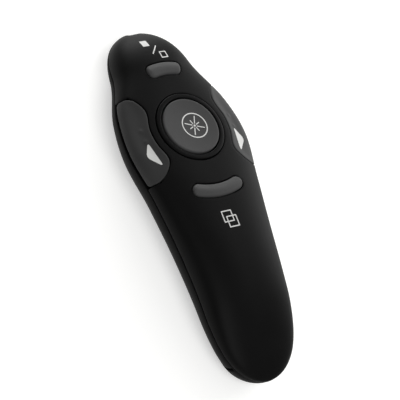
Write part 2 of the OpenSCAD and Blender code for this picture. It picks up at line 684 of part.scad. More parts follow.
module receiver_contacts() {
  color("#c9a24a") for (i = [-1.5 : 1.5])
    translate([sleeve_x + 0.8, bay_y + 2.3 * i - 0.5, tongue_top]) cube([6.5, 1.0, contact_t]);
}
module receiver_board() {
  color("#1f6b45") translate([cap_x - 4.0, bay_y - 5.2, tongue_top]) cube([3.9, 10.4, 0.8]);
}

// ---- The two case halves and the battery door ----
module ledge() {
  at_disc() {
    tube(ring_out + button_gap / 2 + ledge_lap, ring_out + button_gap / 2, ledge_z - ledge_t, -wall / 2);
    tube(ring_out + button_gap, ring_out - ledge_lap, ledge_z - ledge_t, ledge_z);
  }
}
module top_shell() {
  color("#1d1e21") difference() {
    union() {
      difference() {
        upper_skin();
        at_disc() translate([0, 0, -wall * 3]) cylinder(r = ring_out + button_gap / 2, h = wall * 6, $fn = 96);
      }
      ledge();
      for (p = screw_spots()) translate([p[0], p[1], boss_z(p) + boss_gap])
        cylinder(r = boss_r, h = skin(p[0], p[1]) - wall / 2 - boss_z(p) - boss_gap, $fn = 32);
      // The rib behind the bridge contact hangs from the roof
      translate([-bulkhead_half, tail_plate_y - plate_t - wall_t, plate_low])
        cube([2 * bulkhead_half, wall_t, skin(bulkhead_half, tail_plate_y) - wall / 2 - plate_low]);
    }
    for (p = screw_spots()) translate([p[0], p[1], 0])
      cylinder(r = screw_r + pilot_gap, h = screw_tip(p), $fn = 32);
    for (s = [0, 1]) mirror([s, 0, 0]) key_hole();
    band_hole(window_r, window_w, window_a, window_corner, button_gap, 270);
    band_hole(blank_r, blank_w, blank_a, blank_corner, button_gap, 90);
    bezel_hole();
  }
}
module bezel_hole() along_y(bezel_rear - 1.5) cylinder(r = bezel_r + 0.1, h = 10, $fn = 64);
module door_space(grow) {
  translate([-door_half - grow, -half_l - 1, -1])
    cube([2 * (door_half + grow), door_front + half_l + 1 + grow, crest_top]);
}
module bottom_shell() {
  color("#26272b") difference() {
    union() {
      difference() {
        lower_skin(parting_gap / 2);
        door_space(door_gap);
      }
      for (p = screw_spots()) translate([p[0], p[1], post_foot(p, lower_boss_r)])
        cylinder(r = lower_boss_r, h = boss_z(p) - post_foot(p, lower_boss_r), $fn = 32);
      for (p = post_spots) translate([p[0], p[1], post_foot(p, post_r)])
        cylinder(r = post_r, h = board_under - post_foot(p, post_r), $fn = 32);
      translate([-rib_half, head_plate_y + plate_t, underside(rib_half, head_plate_y) + 0.3])
        cube([2 * rib_half, wall_t, board_under - 0.2 - underside(rib_half, head_plate_y) - 0.3]);
      for (y = cradle_spots) translate([-cradle_half, y, underside(cradle_half, y + cradle_t) + 0.3])
        cube([2 * cradle_half, cradle_t, laser_z - underside(cradle_half, y + cradle_t) - 0.3]);
      bay();
    }
    for (p = screw_spots()) translate([p[0], p[1], -1]) {
      cylinder(r = screw_head_r + 0.15, h = seat_z(p) + 1, $fn = 32);
      cylinder(r = screw_r + 0.15, h = boss_z(p) + 2, $fn = 32);
    }
    for (p = post_spots) translate([p[0], p[1], board_under - 5.5])
      cylinder(r = board_screw_r + pilot_gap, h = 6, $fn = 32);
    along_y(barrel_rear - 1) cylinder(r = barrel_r + 0.05, h = barrel_l + 2);
    bezel_hole();
    slider_slot();
    // The receiver's way in
    translate([bay_x + bay_t, bay_y - cap_w / 2 - bay_gap, bay_z - cap_h / 2 - bay_gap])
      cube([head_w, cap_w + 2 * bay_gap, cap_h + 2 * bay_gap]);
  }
}
module bay() {
  low = bay_z - cap_h / 2 - bay_gap - bay_t;
  translate([bay_x, bay_y - cap_w / 2 - bay_gap - bay_t, low])
    cube([bay_reach - bay_x, cap_w + 2 * (bay_gap + bay_t), board_under - 0.1 - low]);
  for (y = [bay_y - cap_w / 2, bay_y + cap_w / 2 - bay_t]) translate([bay_x, y, wall * 0.7])
    cube([bay_foot, bay_t, low - wall * 0.7 + 0.2]);
}
module slider_slot() {
  translate([slider_x - knob_w / 2 - 0.25, slider_y - knob_l / 2 - 0.25, -1])
    cube([knob_w + 0.5, knob_l + slide_travel + 0.5, wall + 2]);
  translate([slider_x - knob_w / 2 - 1.2, slider_y - knob_l / 2 - 1.2, -1])
    cube([knob_w + 2.4, knob_l + slide_travel + 2.4, 1.4]);
}
// The parting line falls towards the tail, so the door's edge lies that much below it
door_drop = 0.45;
// Hooks on the door's edges run on the inside of the case's lower half
hook_l = 4;
hook_spots = [door_front - 3, door_front - 15];
hook_reach = 1.1;
hook_t = 0.8;
hook_web = 0.55;
function hook_z(y) =
  underside(door_half + hook_reach, y - hook_l - door_travel, wall) + 0.3;
module hook(y) {
  foot = underside(door_half - hook_web, y) + 0.4;
  translate([door_half - hook_web - 0.05, y - hook_l, foot]) cube([hook_web, hook_l, hook_z(y) + hook_t - foot]);
  translate([door_half - hook_web - 0.05, y - hook_l, hook_z(y)]) cube([hook_web + hook_reach, hook_l, hook_t]);
}
module battery_door() {
  color("#26272b") {
    intersection() {
      lower_skin(parting_gap / 2 + door_drop);
      door_space(0);
    }
    for (s = [0, 1], y = hook_spots) mirror([s, 0, 0]) hook(y);
  }
}

top_shell();
bottom_shell();
battery_door();
button_ring();
laser_button();
page_back_key();
page_forward_key();
blank_screen_button();
window_button();
power_slider();
power_lever();
power_switch();
circuit_board();
laser_switch();
page_back_switch();
page_forward_switch();
blank_screen_switch();
window_switch();
laser_plunger();
page_back_plunger();
page_forward_plunger();
blank_screen_plunger();
window_plunger();
radio_chip();
crystal();
capacitors();
laser_barrel();
laser_lens();
laser_diode();
laser_driver_board();
laser_window();
laser_bezel();
left_cell();
right_cell();
positive_contact();
negative_contact();
bridge_contact();
head_spring();
tail_spring();
case_screws();
board_screws();
receiver_cap();
receiver_plug_sleeve();
receiver_tongue();
receiver_contacts();
receiver_board();
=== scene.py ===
# %% [markdown]
# # A hand-held presentation clicker
#
# The real object is a slim remote control for showing slides. Two moulded case
# halves meet at a wavy parting line. The upper half carries a round laser button
# in a ring, two long side keys and two small curved buttons; the lower half
# holds the battery door, a power slider and a bay for the plug-in receiver. A
# laser looks out of the nose.
#
# The CAD model gives every piece its size. This file works the same skin out
# again with numpy, much finer, and cuts it into panels with rolled edges, so
# that light runs over them as it does over moulded plastic. Lengths are in
# millimetres until a mesh is made.

import json

import bpy
import numpy as np
from mathutils import Matrix, Vector
from mathutils.geometry import delaunay_2d_cdt


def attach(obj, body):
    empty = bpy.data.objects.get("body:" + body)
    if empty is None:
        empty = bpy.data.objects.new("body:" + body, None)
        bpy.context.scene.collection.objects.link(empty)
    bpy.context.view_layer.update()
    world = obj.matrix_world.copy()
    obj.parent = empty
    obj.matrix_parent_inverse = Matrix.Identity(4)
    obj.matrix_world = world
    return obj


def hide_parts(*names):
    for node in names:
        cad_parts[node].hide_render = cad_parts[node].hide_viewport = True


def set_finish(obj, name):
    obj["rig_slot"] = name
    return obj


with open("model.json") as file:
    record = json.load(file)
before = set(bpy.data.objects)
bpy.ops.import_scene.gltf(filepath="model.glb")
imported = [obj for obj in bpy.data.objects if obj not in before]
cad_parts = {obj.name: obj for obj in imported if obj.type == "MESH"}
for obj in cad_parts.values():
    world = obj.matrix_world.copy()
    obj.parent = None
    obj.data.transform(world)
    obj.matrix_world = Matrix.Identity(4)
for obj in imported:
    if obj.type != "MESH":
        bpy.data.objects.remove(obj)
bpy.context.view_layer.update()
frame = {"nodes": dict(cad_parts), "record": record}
scene = bpy.context.scene

# %% [markdown]
# ## The case as formulas
#
# The case could be pulled out of a block with subdivision surfaces, but then
# every button would have to be fitted by eye. It is quicker to write the case
# as a handful of curves along its length. Each is a smooth curve through a few
# stations, and every cross-section is a superellipse: a rounded box shape whose
# fullness is one power. Buttons, keys and printed marks then all sit on one
# formula.

# %% The stations and the smooth curve through them
HALF = 62.0
UPPER, LOWER = 2.8, 2.2
# How far from each end the plan starts to round off, and the height
NOSE_PLAN, TAIL_PLAN = 14.5, 26.3
NOSE_DROP, TAIL_DROP = 16, 8.2
KEEL = -0.7
WIDTH_Y = [-62, -42, -20, 2, 18, 32, 46, 62]
WIDTH = [35.6, 31.8, 34.2, 40.0, 45.5, 41.4, 29.4, 26.3]
CREST_Y, CREST = [-62, -34, -4, 26, 62], [10.3, 19.8, 21.4, 19.0, 15.1]
PARTING_Y, PARTING = [-62, -24, 20, 62], [8.3, 12.3, 13.3, 5.3]


def curve(stations, values, y):
    """A cubic between stations, with the slope of the line through each station's neighbours."""
    k, v, y = np.asarray(stations, float), np.asarray(values, float), np.asarray(y, float)
    i = np.arange(len(k))
    before, after = np.maximum(i - 1, 0), np.minimum(i + 1, len(k) - 1)
    slope = (v[after] - v[before]) / (k[after] - k[before])
    s = np.clip(np.searchsorted(k, y) - 1, 0, len(k) - 2)
    h = k[s + 1] - k[s]
    t = (y - k[s]) / h
    return (
        (2 * t**3 - 3 * t**2 + 1) * v[s]
        + (t**3 - 2 * t**2 + t) * h * slope[s]
        + (3 * t**2 - 2 * t**3) * v[s + 1]
        + (t**3 - t**2) * h * slope[s + 1]
    )


print("full width at the grip and the head:", curve(WIDTH_Y, WIDTH, [-42, 18]))


# %% The sections along the body
def round_end(q):
    """A quarter circle: 0 at the very end, 1 from q = 1 on."""
    return np.sqrt(1 - (1 - np.clip(q, 0, 1)) ** 2)


def half_width(y, t=0.0):
    """Half of the section's width at y, made smaller by t, rounded in plan at both ends."""
    s = y * HALF / (HALF - t)
    half = curve(WIDTH_Y, WIDTH, y) / 2 - t
    return half * round_end((HALF - s) / NOSE_PLAN) * round_end((HALF + s) / TAIL_PLAN)


def fall(y, t=0.0):
    """How much of the section's height is left at y: 1, falling to 0 at both ends."""
    s = y * HALF / (HALF - t)
    return round_end((HALF - s) / NOSE_DROP) * round_end((HALF + s) / TAIL_DROP)


def parting(y):
    """Height of the line at y where the two halves meet."""
    return curve(PARTING_Y, PARTING, y)


def rise(y, t=0.0):
    """Height of the upper skin's crest above the parting line."""
    return np.maximum(curve(CREST_Y, CREST, y) - parting(y) - t, 0.4) * fall(y, t)


def depth(y, t=0.0):
    """Depth of the keel below the parting line; the keel lifts by a square towards both ends."""
    tail_lift = 1.6 * np.maximum((-46 - y) / 16, 0) ** 2
    nose_lift = 3.0 * np.maximum((y - 26) / 36, 0) ** 2
    return (parting(y) - (KEEL + tail_lift + nose_lift) - t) * fall(y, t)


print("crest at the round button, in mm:", round(float(parting(22.3) + rise(22.3)), 2))

# %% [markdown]
# ## Unrolling the skin
#
# A seen-from-above grid would be torn where the sides drop steeply. So each
# half of the case is unrolled like a label: U runs across the section by arc
# length, V runs along the body and slows down near the ends. A panel is drawn as
# closed outlines in (U, V), filled with evenly spread triangles, and then laid
# back on the skin. The triangles come from a constrained Delaunay
# triangulation, which keeps every outline as a chain of edges.

# %% The unrolled coordinates
ARC = 27.0
V_END = HALF * np.pi / 2
SEAM_GAP = 0.05
# The solids are facetted, so the smooth skin is drawn this much smaller to stay inside their box
SHRINK = np.array([0.9992, 61.95 / 62])
angle_row = np.linspace(0, np.pi / 2, 4001)


def arc_table(power):
    """Section angles against arc length from the crest, on a section 20 wide to a side and 7 high."""
    x = 20 * np.cos(angle_row) ** (2 / power)
    z = 7 * np.sin(angle_row) ** (2 / power)
    step = np.hypot(np.diff(x), np.diff(z))
    s = np.concatenate([[0], np.cumsum(step)])
    return ARC * (1 - s / s[-1])


TABLE = {power: arc_table(power) for power in (UPPER, LOWER)}


def angle_at(u, power):
    """The section's angle at U: 0 on the right parting line, a half turn on the left one."""
    quarter = np.interp(ARC - np.abs(u), ARC - TABLE[power], angle_row)
    return np.where(u >= 0, quarter, np.pi - quarter)


def unroll(x, y, power=UPPER):
    """(x, y) seen from above as (U, V): U is arc length across, and y is HALF sin(V / HALF)."""
    w = half_width(y)
    quarter = np.arccos(np.clip(np.abs(x) / w, 0, 1) ** (power / 2))
    u = np.sign(x) * np.interp(quarter, angle_row, TABLE[power])
    return np.stack([u, HALF * np.arcsin(np.clip(y / HALF, -1, 1))], -1)


print("the unrolled case is", 2 * ARC, "by", round(2 * V_END, 1), "mm")


# %% Laying the unrolled plane back on the skin
def seam(y):
    """Extra room at the parting line by the tail, where a rolled edge would reach across it."""
    return 0.3 * (1 - fall(y)) ** 4 * (y < 0)


def upper(uv):
    """(U, V) laid back on the upper skin: a superellipse of that angle over the section at V."""
    y = HALF * np.sin(uv[:, 1] / HALF)
    a = angle_at(uv[:, 0], UPPER)
    c, s = np.cos(a), np.maximum(np.sin(a), 0)
    x = np.sign(c) * half_width(y) * np.abs(c) ** (2 / UPPER)
    z = parting(y) + SEAM_GAP + seam(y) + rise(y) * s ** (2 / UPPER)
    return np.stack([SHRINK[0] * x, SHRINK[1] * y, z], -1)


def lower(uv, gap=SEAM_GAP):
    """(U, V) laid back on the lower skin; a soft maximum keeps it above the rest plane."""
    y = HALF * np.sin(uv[:, 1] / HALF)
    a = angle_at(uv[:, 0], LOWER)
    c, s = np.cos(a), np.maximum(np.sin(a), 0)
    x = np.sign(c) * half_width(y) * np.abs(c) ** (2 / LOWER)
    top = gap + seam(y)
    z = parting(y) - top - np.maximum(depth(y) - top, 0.0) * s ** (2 / LOWER)
    return np.stack([SHRINK[0] * x, SHRINK[1] * y, 0.5 * (z + np.sqrt(z * z + 0.02))], -1)


def outward(surface, uv, e=0.15):
    """The skin's outward direction: the cross product of its slopes, taken just clear of its ends."""
    clear = np.clip(uv, [-ARC + e, -V_END + 2.5], [ARC - e, V_END - 0.4])
    across = surface(clear + [e, 0]) - surface(clear - [e, 0])
    along = surface(clear + [0, e]) - surface(clear - [0, e])
    n = np.cross(across, along)
    n = n if surface is upper else -n
    return n / np.linalg.norm(n, axis=1, keepdims=True)


print("one point of the skin:", upper(np.array([[10.0, 0.0]])).round(2)[0])


# %% Which points are inside an outline
def inside(points, loop):
    """Even-odd rule: inside, a ray to the right crosses the loop an odd number of times."""
    a, b = loop, np.roll(loop, -1, 0)
    odd = np.zeros(len(points), bool)
    for part in np.array_split(np.arange(len(points)), max(1, len(points) * len(loop) // 4_000_000)):
        x, y = points[part, 0:1], points[part, 1:2]
        crosses = (a[:, 1] > y) != (b[:, 1] > y)
        with np.errstate(divide="ignore", invalid="ignore"):
            at = a[:, 0] + (y - a[:, 1]) * (b[:, 0] - a[:, 0]) / (b[:, 1] - a[:, 1])
        odd[part] = (crosses & (x < at)).sum(1) % 2 == 1
    return odd


tile = np.array([[0, 0], [8, 0], [8, 8], [0, 8]], float)
print("inside an 8 mm tile:", inside(np.array([[4.0, 4.0], [9.0, 4.0]]), tile))


# %% Filling outlines with triangles
def fill(outline, holes=(), spacing=0.8):
    """Triangles between an outline and its holes, on a staggered grid that keeps clear of every edge."""
    loops = [outline, *holes]
    low, high = outline.min(0), outline.max(0)
    rows = np.arange(low[1] + spacing / 2, high[1], spacing * 0.87)
    cols = np.arange(low[0], high[0] + spacing, spacing)
    grid = np.stack(np.meshgrid(cols, rows), -1)
    grid[1::2, :, 0] += spacing / 2
    grid = grid.reshape(-1, 2)
    keep = inside(grid, outline)
    for hole in holes:
        keep &= ~inside(grid, hole)
    grid = grid[keep]
    edge = np.concatenate(loops)
    for part in np.array_split(edge, max(1, len(edge) // 100)):
        near = ((grid[:, None] - part[None]) ** 2).sum(-1).min(1)
        grid = grid[near > (0.55 * spacing) ** 2]
    points = np.concatenate([edge, grid])
    start, sides = 0, []
    for loop in loops:
        i = np.arange(len(loop))
        sides += np.stack([start + i, start + np.roll(i, -1)], -1).tolist()
        start += len(loop)
    corners = [Vector(p) for p in points]
    found, _, faces, origin, _, _ = delaunay_2d_cdt(corners, sides, [], 0, 1e-7, True)
    uv = np.array([v[:] for v in found], float)
    place = np.full(len(points), -1)
    for new, old in enumerate(origin):
        place[old] = new
    tri = np.array([f for f in faces if len(f) == 3])
    middle = uv[tri].mean(1)
    good = inside(middle, outline)
    for hole in holes:
        good &= ~inside(middle, hole)
    tri = tri[good]
    a, b, c = uv[tri[:, 0]], uv[tri[:, 1]], uv[tri[:, 2]]
    turn = (b[:, 0] - a[:, 0]) * (c[:, 1] - a[:, 1]) - (b[:, 1] - a[:, 1]) * (c[:, 0] - a[:, 0])
    tri[turn < 0] = tri[turn < 0][:, ::-1]
    marks = np.cumsum([0] + [len(loop) for loop in loops])
    return uv, tri, [place[i:j] for i, j in zip(marks[:-1], marks[1:])]


print("triangles in the tile:", len(fill(tile)[1]))


# %% [markdown]
# ## Rolled edges
#
# A moulded edge is never sharp: a tool leaves a radius of a few tenths of a
# millimetre, and that radius catches the light all round a button. A Bevel
# modifier would need clean quads, which a Delaunay fill doesn't have, so the
# roll is built as rows of points that leave the outline along a quarter circle
# and then run straight down the wall.

# %% Rows of faces, welding and the roll
def strip(rows, turn):
    """Two triangles for each cell between consecutive closed rows of point numbers."""
    faces = []
    for a, b in zip(rows[:-1], rows[1:]):
        a2, b2 = np.roll(a, -1), np.roll(b, -1)
        faces += [np.stack([a, b, b2], -1), np.stack([a, b2, a2], -1)]
    faces = np.concatenate(faces)
    return faces[:, ::-1] if turn else faces


def tidy(points, tri):
    """Points that coincide become one, and triangles that have collapsed go."""
    cells = np.round(points / 2e-4).astype(np.int64)
    _, first, where = np.unique(cells, axis=0, return_index=True, return_inverse=True)
    where = where.reshape(-1)
    tri = where[tri]
    good = (tri[:, 0] != tri[:, 1]) & (tri[:, 1] != tri[:, 2]) & (tri[:, 2] != tri[:, 0])
    return points[first], tri[good]


def roll_edge(edge, normal, radius, wall, back=None, steps=4):
    """Rows that leave the edge along a quarter circle, then a foot: wall deep, or at x = back."""
    along = np.roll(edge, -1, 0) - np.roll(edge, 1, 0)
    out = np.cross(along, normal)
    out /= np.maximum(np.linalg.norm(out, axis=1, keepdims=True), 1e-9)
    f = np.linspace(0, np.pi / 2, steps + 1)[1:, None, None]
    rows = edge + out * radius * np.sin(f) - normal * radius * (1 - np.cos(f))
    foot = edge + out * radius - normal * wall
    if back is not None:
        foot = rows[-1] * [0, 1, 1] + [back, 0, 0]
    return np.concatenate([rows, foot[None]])


print("faces between two rows of four points:", len(strip([np.arange(4), np.arange(4) + 4], False)))


# %% A panel: filled skin, rolled edge, straight wall
def panel(
    surface, outline, holes=(), shape=None, radius=0.3, wall=1.4, spacing=0.8, closed=None, back=None
):
    """A skin between outlines, moved by shape(points, uv), with a rolled edge and a wall on each.

    closed picks the points of the outline that get them, where the skin closes to a pole elsewhere.
    """
    uv, tri, chains = fill(outline, holes, spacing)
    points = surface(uv)
    normals = outward(surface, uv)
    if shape is not None:
        points = points + normals * shape(points, uv)[:, None]
    if surface is not upper:
        tri = tri[:, ::-1]
    count, blocks, faces = len(points), [points], [tri]
    for k, chain in enumerate(chains):
        if radius <= 0:
            break
        if k == 0 and closed is not None:
            chain = chain[closed]
        edge, normal = points[chain], normals[chain]
        if surface is not upper:
            edge, normal, chain = edge[::-1], normal[::-1], chain[::-1]
        rows = roll_edge(edge, normal, radius, wall, back)
        ids = [chain] + [count + len(chain) * i + np.arange(len(chain)) for i in range(len(rows))]
        faces.append(strip(ids, False))
        blocks.append(rows.reshape(-1, 3))
        count += rows.shape[0] * rows.shape[1]
    return tidy(np.concatenate(blocks), np.concatenate(faces))


print("faces of a tile laid on the crest:", len(panel(upper, tile - 4)[1]))


# %% [markdown]
# ## From points to pieces
#
# Every piece keeps its object at the origin and its place in its mesh, as the
# CAD nodes do, so that patterns in Object coordinates stay still. A piece rides
# on the CAD body that it belongs to and replaces the plain CAD solid. What the
# solid has inside the case, such as ribs and posts, is already right, so those
# faces are copied from it.

# %% One helper that makes a mesh and seats it
made = {}


def piece(name, points, tri, body, slot=None, nodes=()):
    """Points in millimetres and triangles become an object that rides on a CAD body."""
    mesh = bpy.data.meshes.new(name)
    mesh.from_pydata((points / 1000).tolist(), [], tri.tolist())
    mesh.validate()
    mesh.polygons.foreach_set("use_smooth", np.full(len(mesh.polygons), True))
    obj = bpy.data.objects.new(name, mesh)
    scene.collection.objects.link(obj)
    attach(obj, body)
    if slot:
        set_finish(obj, slot)
    if nodes:
        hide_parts(*nodes)
    made[name] = obj
    print(f"{name}: {len(mesh.vertices)} points, {len(mesh.polygons)} triangles")


def join(*parts):
    """Several (points, triangles) as one."""
    starts = np.cumsum([0] + [len(p) for p, _ in parts])
    points = np.concatenate([p for p, _ in parts])
    return points, np.concatenate([t + s for (_, t), s in zip(parts, starts)])


print("CAD nodes in the frame:", len(frame["nodes"]))


# %% What the CAD solids have inside the case
def cad_triangles(node):
    """A CAD node's points, in millimetres, and its triangles."""
    mesh = frame["nodes"][node].data
    points = np.empty(len(mesh.vertices) * 3)
    mesh.vertices.foreach_get("co", points)
    mesh.calc_loop_triangles()
    tri = np.empty(len(mesh.loop_triangles) * 3, np.int32)
    mesh.loop_triangles.foreach_get("vertices", tri)
    return points.reshape(-1, 3) * 1000, tri.reshape(-1, 3)


def within(p, t):
    """True for points at least t inside the outer skin: inside the section made smaller by t."""
    x, y, z = p.T
    w = np.maximum(half_width(y, t), 1e-6)
    up = z >= parting(y)
    h = np.where(up, np.maximum(rise(y, t), 1e-6), np.maximum(depth(y, t), 1e-6))
    n = np.where(up, UPPER, LOWER)
    r = (np.abs(x) / w) ** n + (np.abs(z - parting(y)) / h) ** n
    return (r < 1) & (np.abs(y) < HALF - t) & (z > min(t, 1.0))


def inner_faces(node, t=0.7):
    """What the CAD node has inside the case, such as ribs, posts and the inner skin."""
    points, tri = cad_triangles(node)
    return points, tri[within(points, t)[tri].all(1)]


print("inner faces of the upper half:", len(inner_faces("top_shell")[1]))


# %% [markdown]
# ## The openings in the upper half
#
# The round opening is drawn from above, while the long keys reach down the
# steep sides, so their outlines are drawn in the unrolled plane. The side keys
# are waved on the inside: a rear lobe, a waist beside the round button and a
# front lobe.

# %% Sizes of the openings, the keys and the buttons
DISC_Y, DISC_R, RING_W, GAP = 22.3, 10.2, 1.75, 0.25
KEY_LOW, KEY_HIGH, KEY_LIFT = 6.2, 36.6, 0.75
KEY_Y = [5.2, 8.5, 12.7, 18.6, 24.0, 30.4, 35.0, 38.2]
KEY_X = [19.6, 15.3, 12.9, 14.5, 14.8, 13.4, 15.2, 18.2]
# Small buttons: radius about the round button's centre, width, half angle in degrees, corner radius
WINDOW_BAR = (23.2, 4.4, 24, 2.19)
BLANK_BAR = (22.0, 4.6, 16.5, 1.6)
REAR, FRONT = 270, 90
print("the round opening is", 2 * (DISC_R + GAP + RING_W + GAP / 2), "mm across")


# %% Circles, rounded boxes and bent bars
def circle(x, y, r, n=180):
    """A circle in plan, anticlockwise."""
    f = np.linspace(0, 2 * np.pi, n, endpoint=False)
    return x + r * np.cos(f), y + r * np.sin(f)


def rounded_box(a, b, r, n=10):
    """A rectangle of half sides a and b with corners of radius r, anticlockwise, evenly stepped."""
    f = np.linspace(0, np.pi / 2, n)
    corner = np.stack([r * np.cos(f), r * np.sin(f)], -1)
    quarters = np.arange(4) * np.pi / 2
    turns = [np.array([[np.cos(q), np.sin(q)], [-np.sin(q), np.cos(q)]]) for q in quarters]
    centres = (np.array([a, b]) - r) * [[1, 1], [-1, 1], [-1, -1], [1, -1]]
    ring = np.concatenate([corner @ turn + c for turn, c in zip(turns, centres)])
    return spread(ring, 0.4)


def spread(loop, step):
    """The same closed loop with points a step apart, by arc length."""
    closed = np.concatenate([loop, loop[:1]])
    s = np.concatenate([[0], np.cumsum(np.linalg.norm(np.diff(closed, axis=0), axis=1))])
    n = max(8, int(round(s[-1] / step)))
    at = np.linspace(0, s[-1], n, endpoint=False)
    return np.stack([np.interp(at, s, closed[:, i]) for i in range(loop.shape[1])], -1)


def band(radius, width, half_angle, corner, grow, middle):
    """A rounded bar bent about the round button's centre, in plan, anticlockwise."""
    box = rounded_box(radius * np.radians(half_angle) + grow, width / 2 + grow, corner + grow)[::-1]
    f = np.radians(middle) + box[:, 0] / radius
    r = radius + box[:, 1]
    return r * np.cos(f), DISC_Y + r * np.sin(f)


print("points round the window bar:", len(band(*WINDOW_BAR, 0, REAR)[0]))


# %% The side key's outline
def key_outline(corner=1.4):
    """The right key in (U, V), anticlockwise: waved inside, parting line outside, corners eased."""
    middle, reach = (KEY_LOW + KEY_HIGH) / 2, (KEY_HIGH - KEY_LOW) / 2
    y = middle - reach * np.cos(np.linspace(0.02, np.pi - 0.02, 90))
    d = np.minimum(y - KEY_LOW, KEY_HIGH - y)
    ease = corner - np.sqrt(np.maximum(corner**2 - np.maximum(corner - d, 0) ** 2, 0))
    side = unroll(curve(KEY_Y, KEY_X, y), y)
    a = np.arcsin(np.minimum(KEY_LIFT / rise(y), 1) ** (UPPER / 2))
    outer = np.interp(a, angle_row, TABLE[UPPER])
    inner_line = np.stack([side[:, 0] + ease, side[:, 1]], -1)
    outer_line = np.stack([outer - ease, side[:, 1]], -1)
    return np.concatenate([outer_line, inner_line[::-1]])


print("key outline:", len(key_outline()), "points")


# %% The upper half's own outline: parting line, key recesses and the laser's hole
LASER_Z = 8.6
LIP, SHELL_WALL = 0.3, 1.5


def nose_edge(surface, radius=3.5, n=61):
    """For each U, the V where the skin reaches the cylinder of the laser's bezel, by halving."""
    u = np.linspace(ARC, -ARC, n)
    far, near = np.full(n, V_END - 14.0), np.full(n, V_END)
    for _ in range(40):
        v = (far + near) / 2
        p = surface(np.stack([u, v], -1))
        outside = np.hypot(p[:, 0], p[:, 2] - LASER_Z) > radius
        far, near = np.where(outside, v, far), np.where(outside, near, v)
    return np.stack([u, far], -1)


def side_chain(v_start, v_stop, u):
    """A straight run along the body at one U, a point every 0.7 mm."""
    n = max(3, int(abs(v_stop - v_start) / 0.7))
    return np.stack([np.full(n, u), np.linspace(v_start, v_stop, n)], -1)


def upper_outline():
    """Anticlockwise from the tail, right side first. The lip's radius is kept back from every edge."""
    edge = ARC - LIP
    y = np.linspace(KEY_LOW - GAP, KEY_HIGH + GAP, 80)
    wave = unroll(curve(KEY_Y, KEY_X, y) - GAP - LIP, y)
    wave[0, 1] -= LIP
    wave[-1, 1] += LIP
    rear = np.stack([np.linspace(edge, wave[0, 0], 8)[1:-1], np.full(6, wave[0, 1])], -1)
    front = np.stack([np.linspace(wave[-1, 0], edge, 8)[1:-1], np.full(6, wave[-1, 1])], -1)
    nose = nose_edge(upper)
    nose = nose[np.abs(nose[:, 0]) < edge]
    right = np.concatenate([
        side_chain(-V_END, wave[0, 1], edge), rear, wave, front,
        side_chain(wave[-1, 1], nose[0, 1], edge)[:-1],
    ])
    left = right[::-1] * [-1, 1]
    tail = np.stack([np.linspace(-edge, edge, 40)[1:-1], np.full(38, -V_END)], -1)
    return np.concatenate([right, nose, left, tail]), len(right) + len(nose) + len(left)


outline, seen = upper_outline()
print("points round the upper half:", len(outline))

# %% The upper case
holes = [
    unroll(*circle(0, DISC_Y, DISC_R + GAP + RING_W + GAP / 2 + LIP)),
    unroll(*band(*WINDOW_BAR, GAP + LIP, REAR)),
    unroll(*band(*BLANK_BAR, GAP + LIP, FRONT)),
]
holes = [hole[::-1] for hole in holes]
shell = panel(upper, outline, holes, radius=LIP, wall=SHELL_WALL, closed=np.arange(seen - 1))
upper_half = join(shell, inner_faces("top_shell"))
piece("upper_case", *upper_half, "case", "soft_touch_black", ["top_shell"])

# %% [markdown]
# ## The lower half
#
# The lower half is drawn the same way on the lower skin. Its openings are the
# battery door, four screw wells, the power slider's slot and the receiver's way
# out on the right. Booleans could cut them, but would leave slivers along the
# rims; as holes in the outline they come out clean, each with its own roll.

# %% The lower half's own outline: parting line, door and the laser's hole
DOOR_HALF, DOOR_FRONT, DOOR_GAP = 11.2, -5.2, 0.2
DOOR_TAIL = -61.2


def unroll_low(x, y):
    """(x, y) on the underside as (U, V)."""
    return unroll(np.asarray(x, float), np.asarray(y, float), LOWER)


def on_side(y, z):
    """(y, z) on the right side of the lower skin as (U, V): the superellipse solved for x."""
    down = np.clip(parting(y) - z, 0, None) / depth(y)
    return unroll_low(half_width(y) * np.maximum(1 - down**LOWER, 0) ** (1 / LOWER), y)


def lower_outline():
    """Anticlockwise: across the door's front, down its right side, the right, the nose, the left."""
    edge = ARC - LIP
    g = DOOR_GAP + LIP
    door_y = np.linspace(DOOR_FRONT + g, DOOR_TAIL, 90)
    reach = np.minimum(DOOR_HALF + g, half_width(door_y) * 0.999)
    right_in = unroll_low(reach, door_y)
    stop = int(np.argmax(right_in[:, 0] > edge)) or len(right_in)
    right_in = right_in[:stop]
    nose = nose_edge(lower)
    nose = nose[np.abs(nose[:, 0]) < edge]
    corner = right_in[-1]
    side = side_chain(corner[1], nose[0, 1], edge)
    across = np.linspace(-DOOR_HALF - g, DOOR_HALF + g, 40)[1:-1]
    front = unroll_low(across, np.full(38, DOOR_FRONT + g))
    right = np.concatenate([right_in, side])
    return np.concatenate([front, right, nose, right[::-1] * [-1, 1]])


outline = lower_outline()
print("points round the lower half:", len(outline))

# %% The openings in the lower half
# Places in plan of the screws and the slider, and (y, z) of the receiver's bay; then half sizes
SCREWS = [(11.5, 35.5), (7.5, 6.2), (-11.5, 35.5), (-7.5, 6.2)]
WELL = 2.05
SLOT_X, SLOT_Y = -4.5, 15.05
BAY = np.array([18.4, 7.3])
SLOT_HALF, BAY_HALF = (3.2, 4.95), (7.75, 3.35)

low_holes = [unroll_low(*circle(x, y, WELL + LIP, 48)) for x, y in SCREWS]
slot_box = rounded_box(SLOT_HALF[0] + LIP, SLOT_HALF[1] + LIP, 0.5)
low_holes.append(unroll_low(slot_box[:, 0] + SLOT_X, slot_box[:, 1] + SLOT_Y))
bay_box = rounded_box(BAY_HALF[0] + LIP, BAY_HALF[1] + LIP, 0.7)
low_holes.append(on_side(*(bay_box + BAY).T)[::-1])
shell = panel(lower, outline, [h[::-1] for h in low_holes], radius=LIP, wall=SHELL_WALL)
print("openings in the lower half:", len(low_holes))


# %% The lower case
SLIT_Y = (6.4, 35.8)


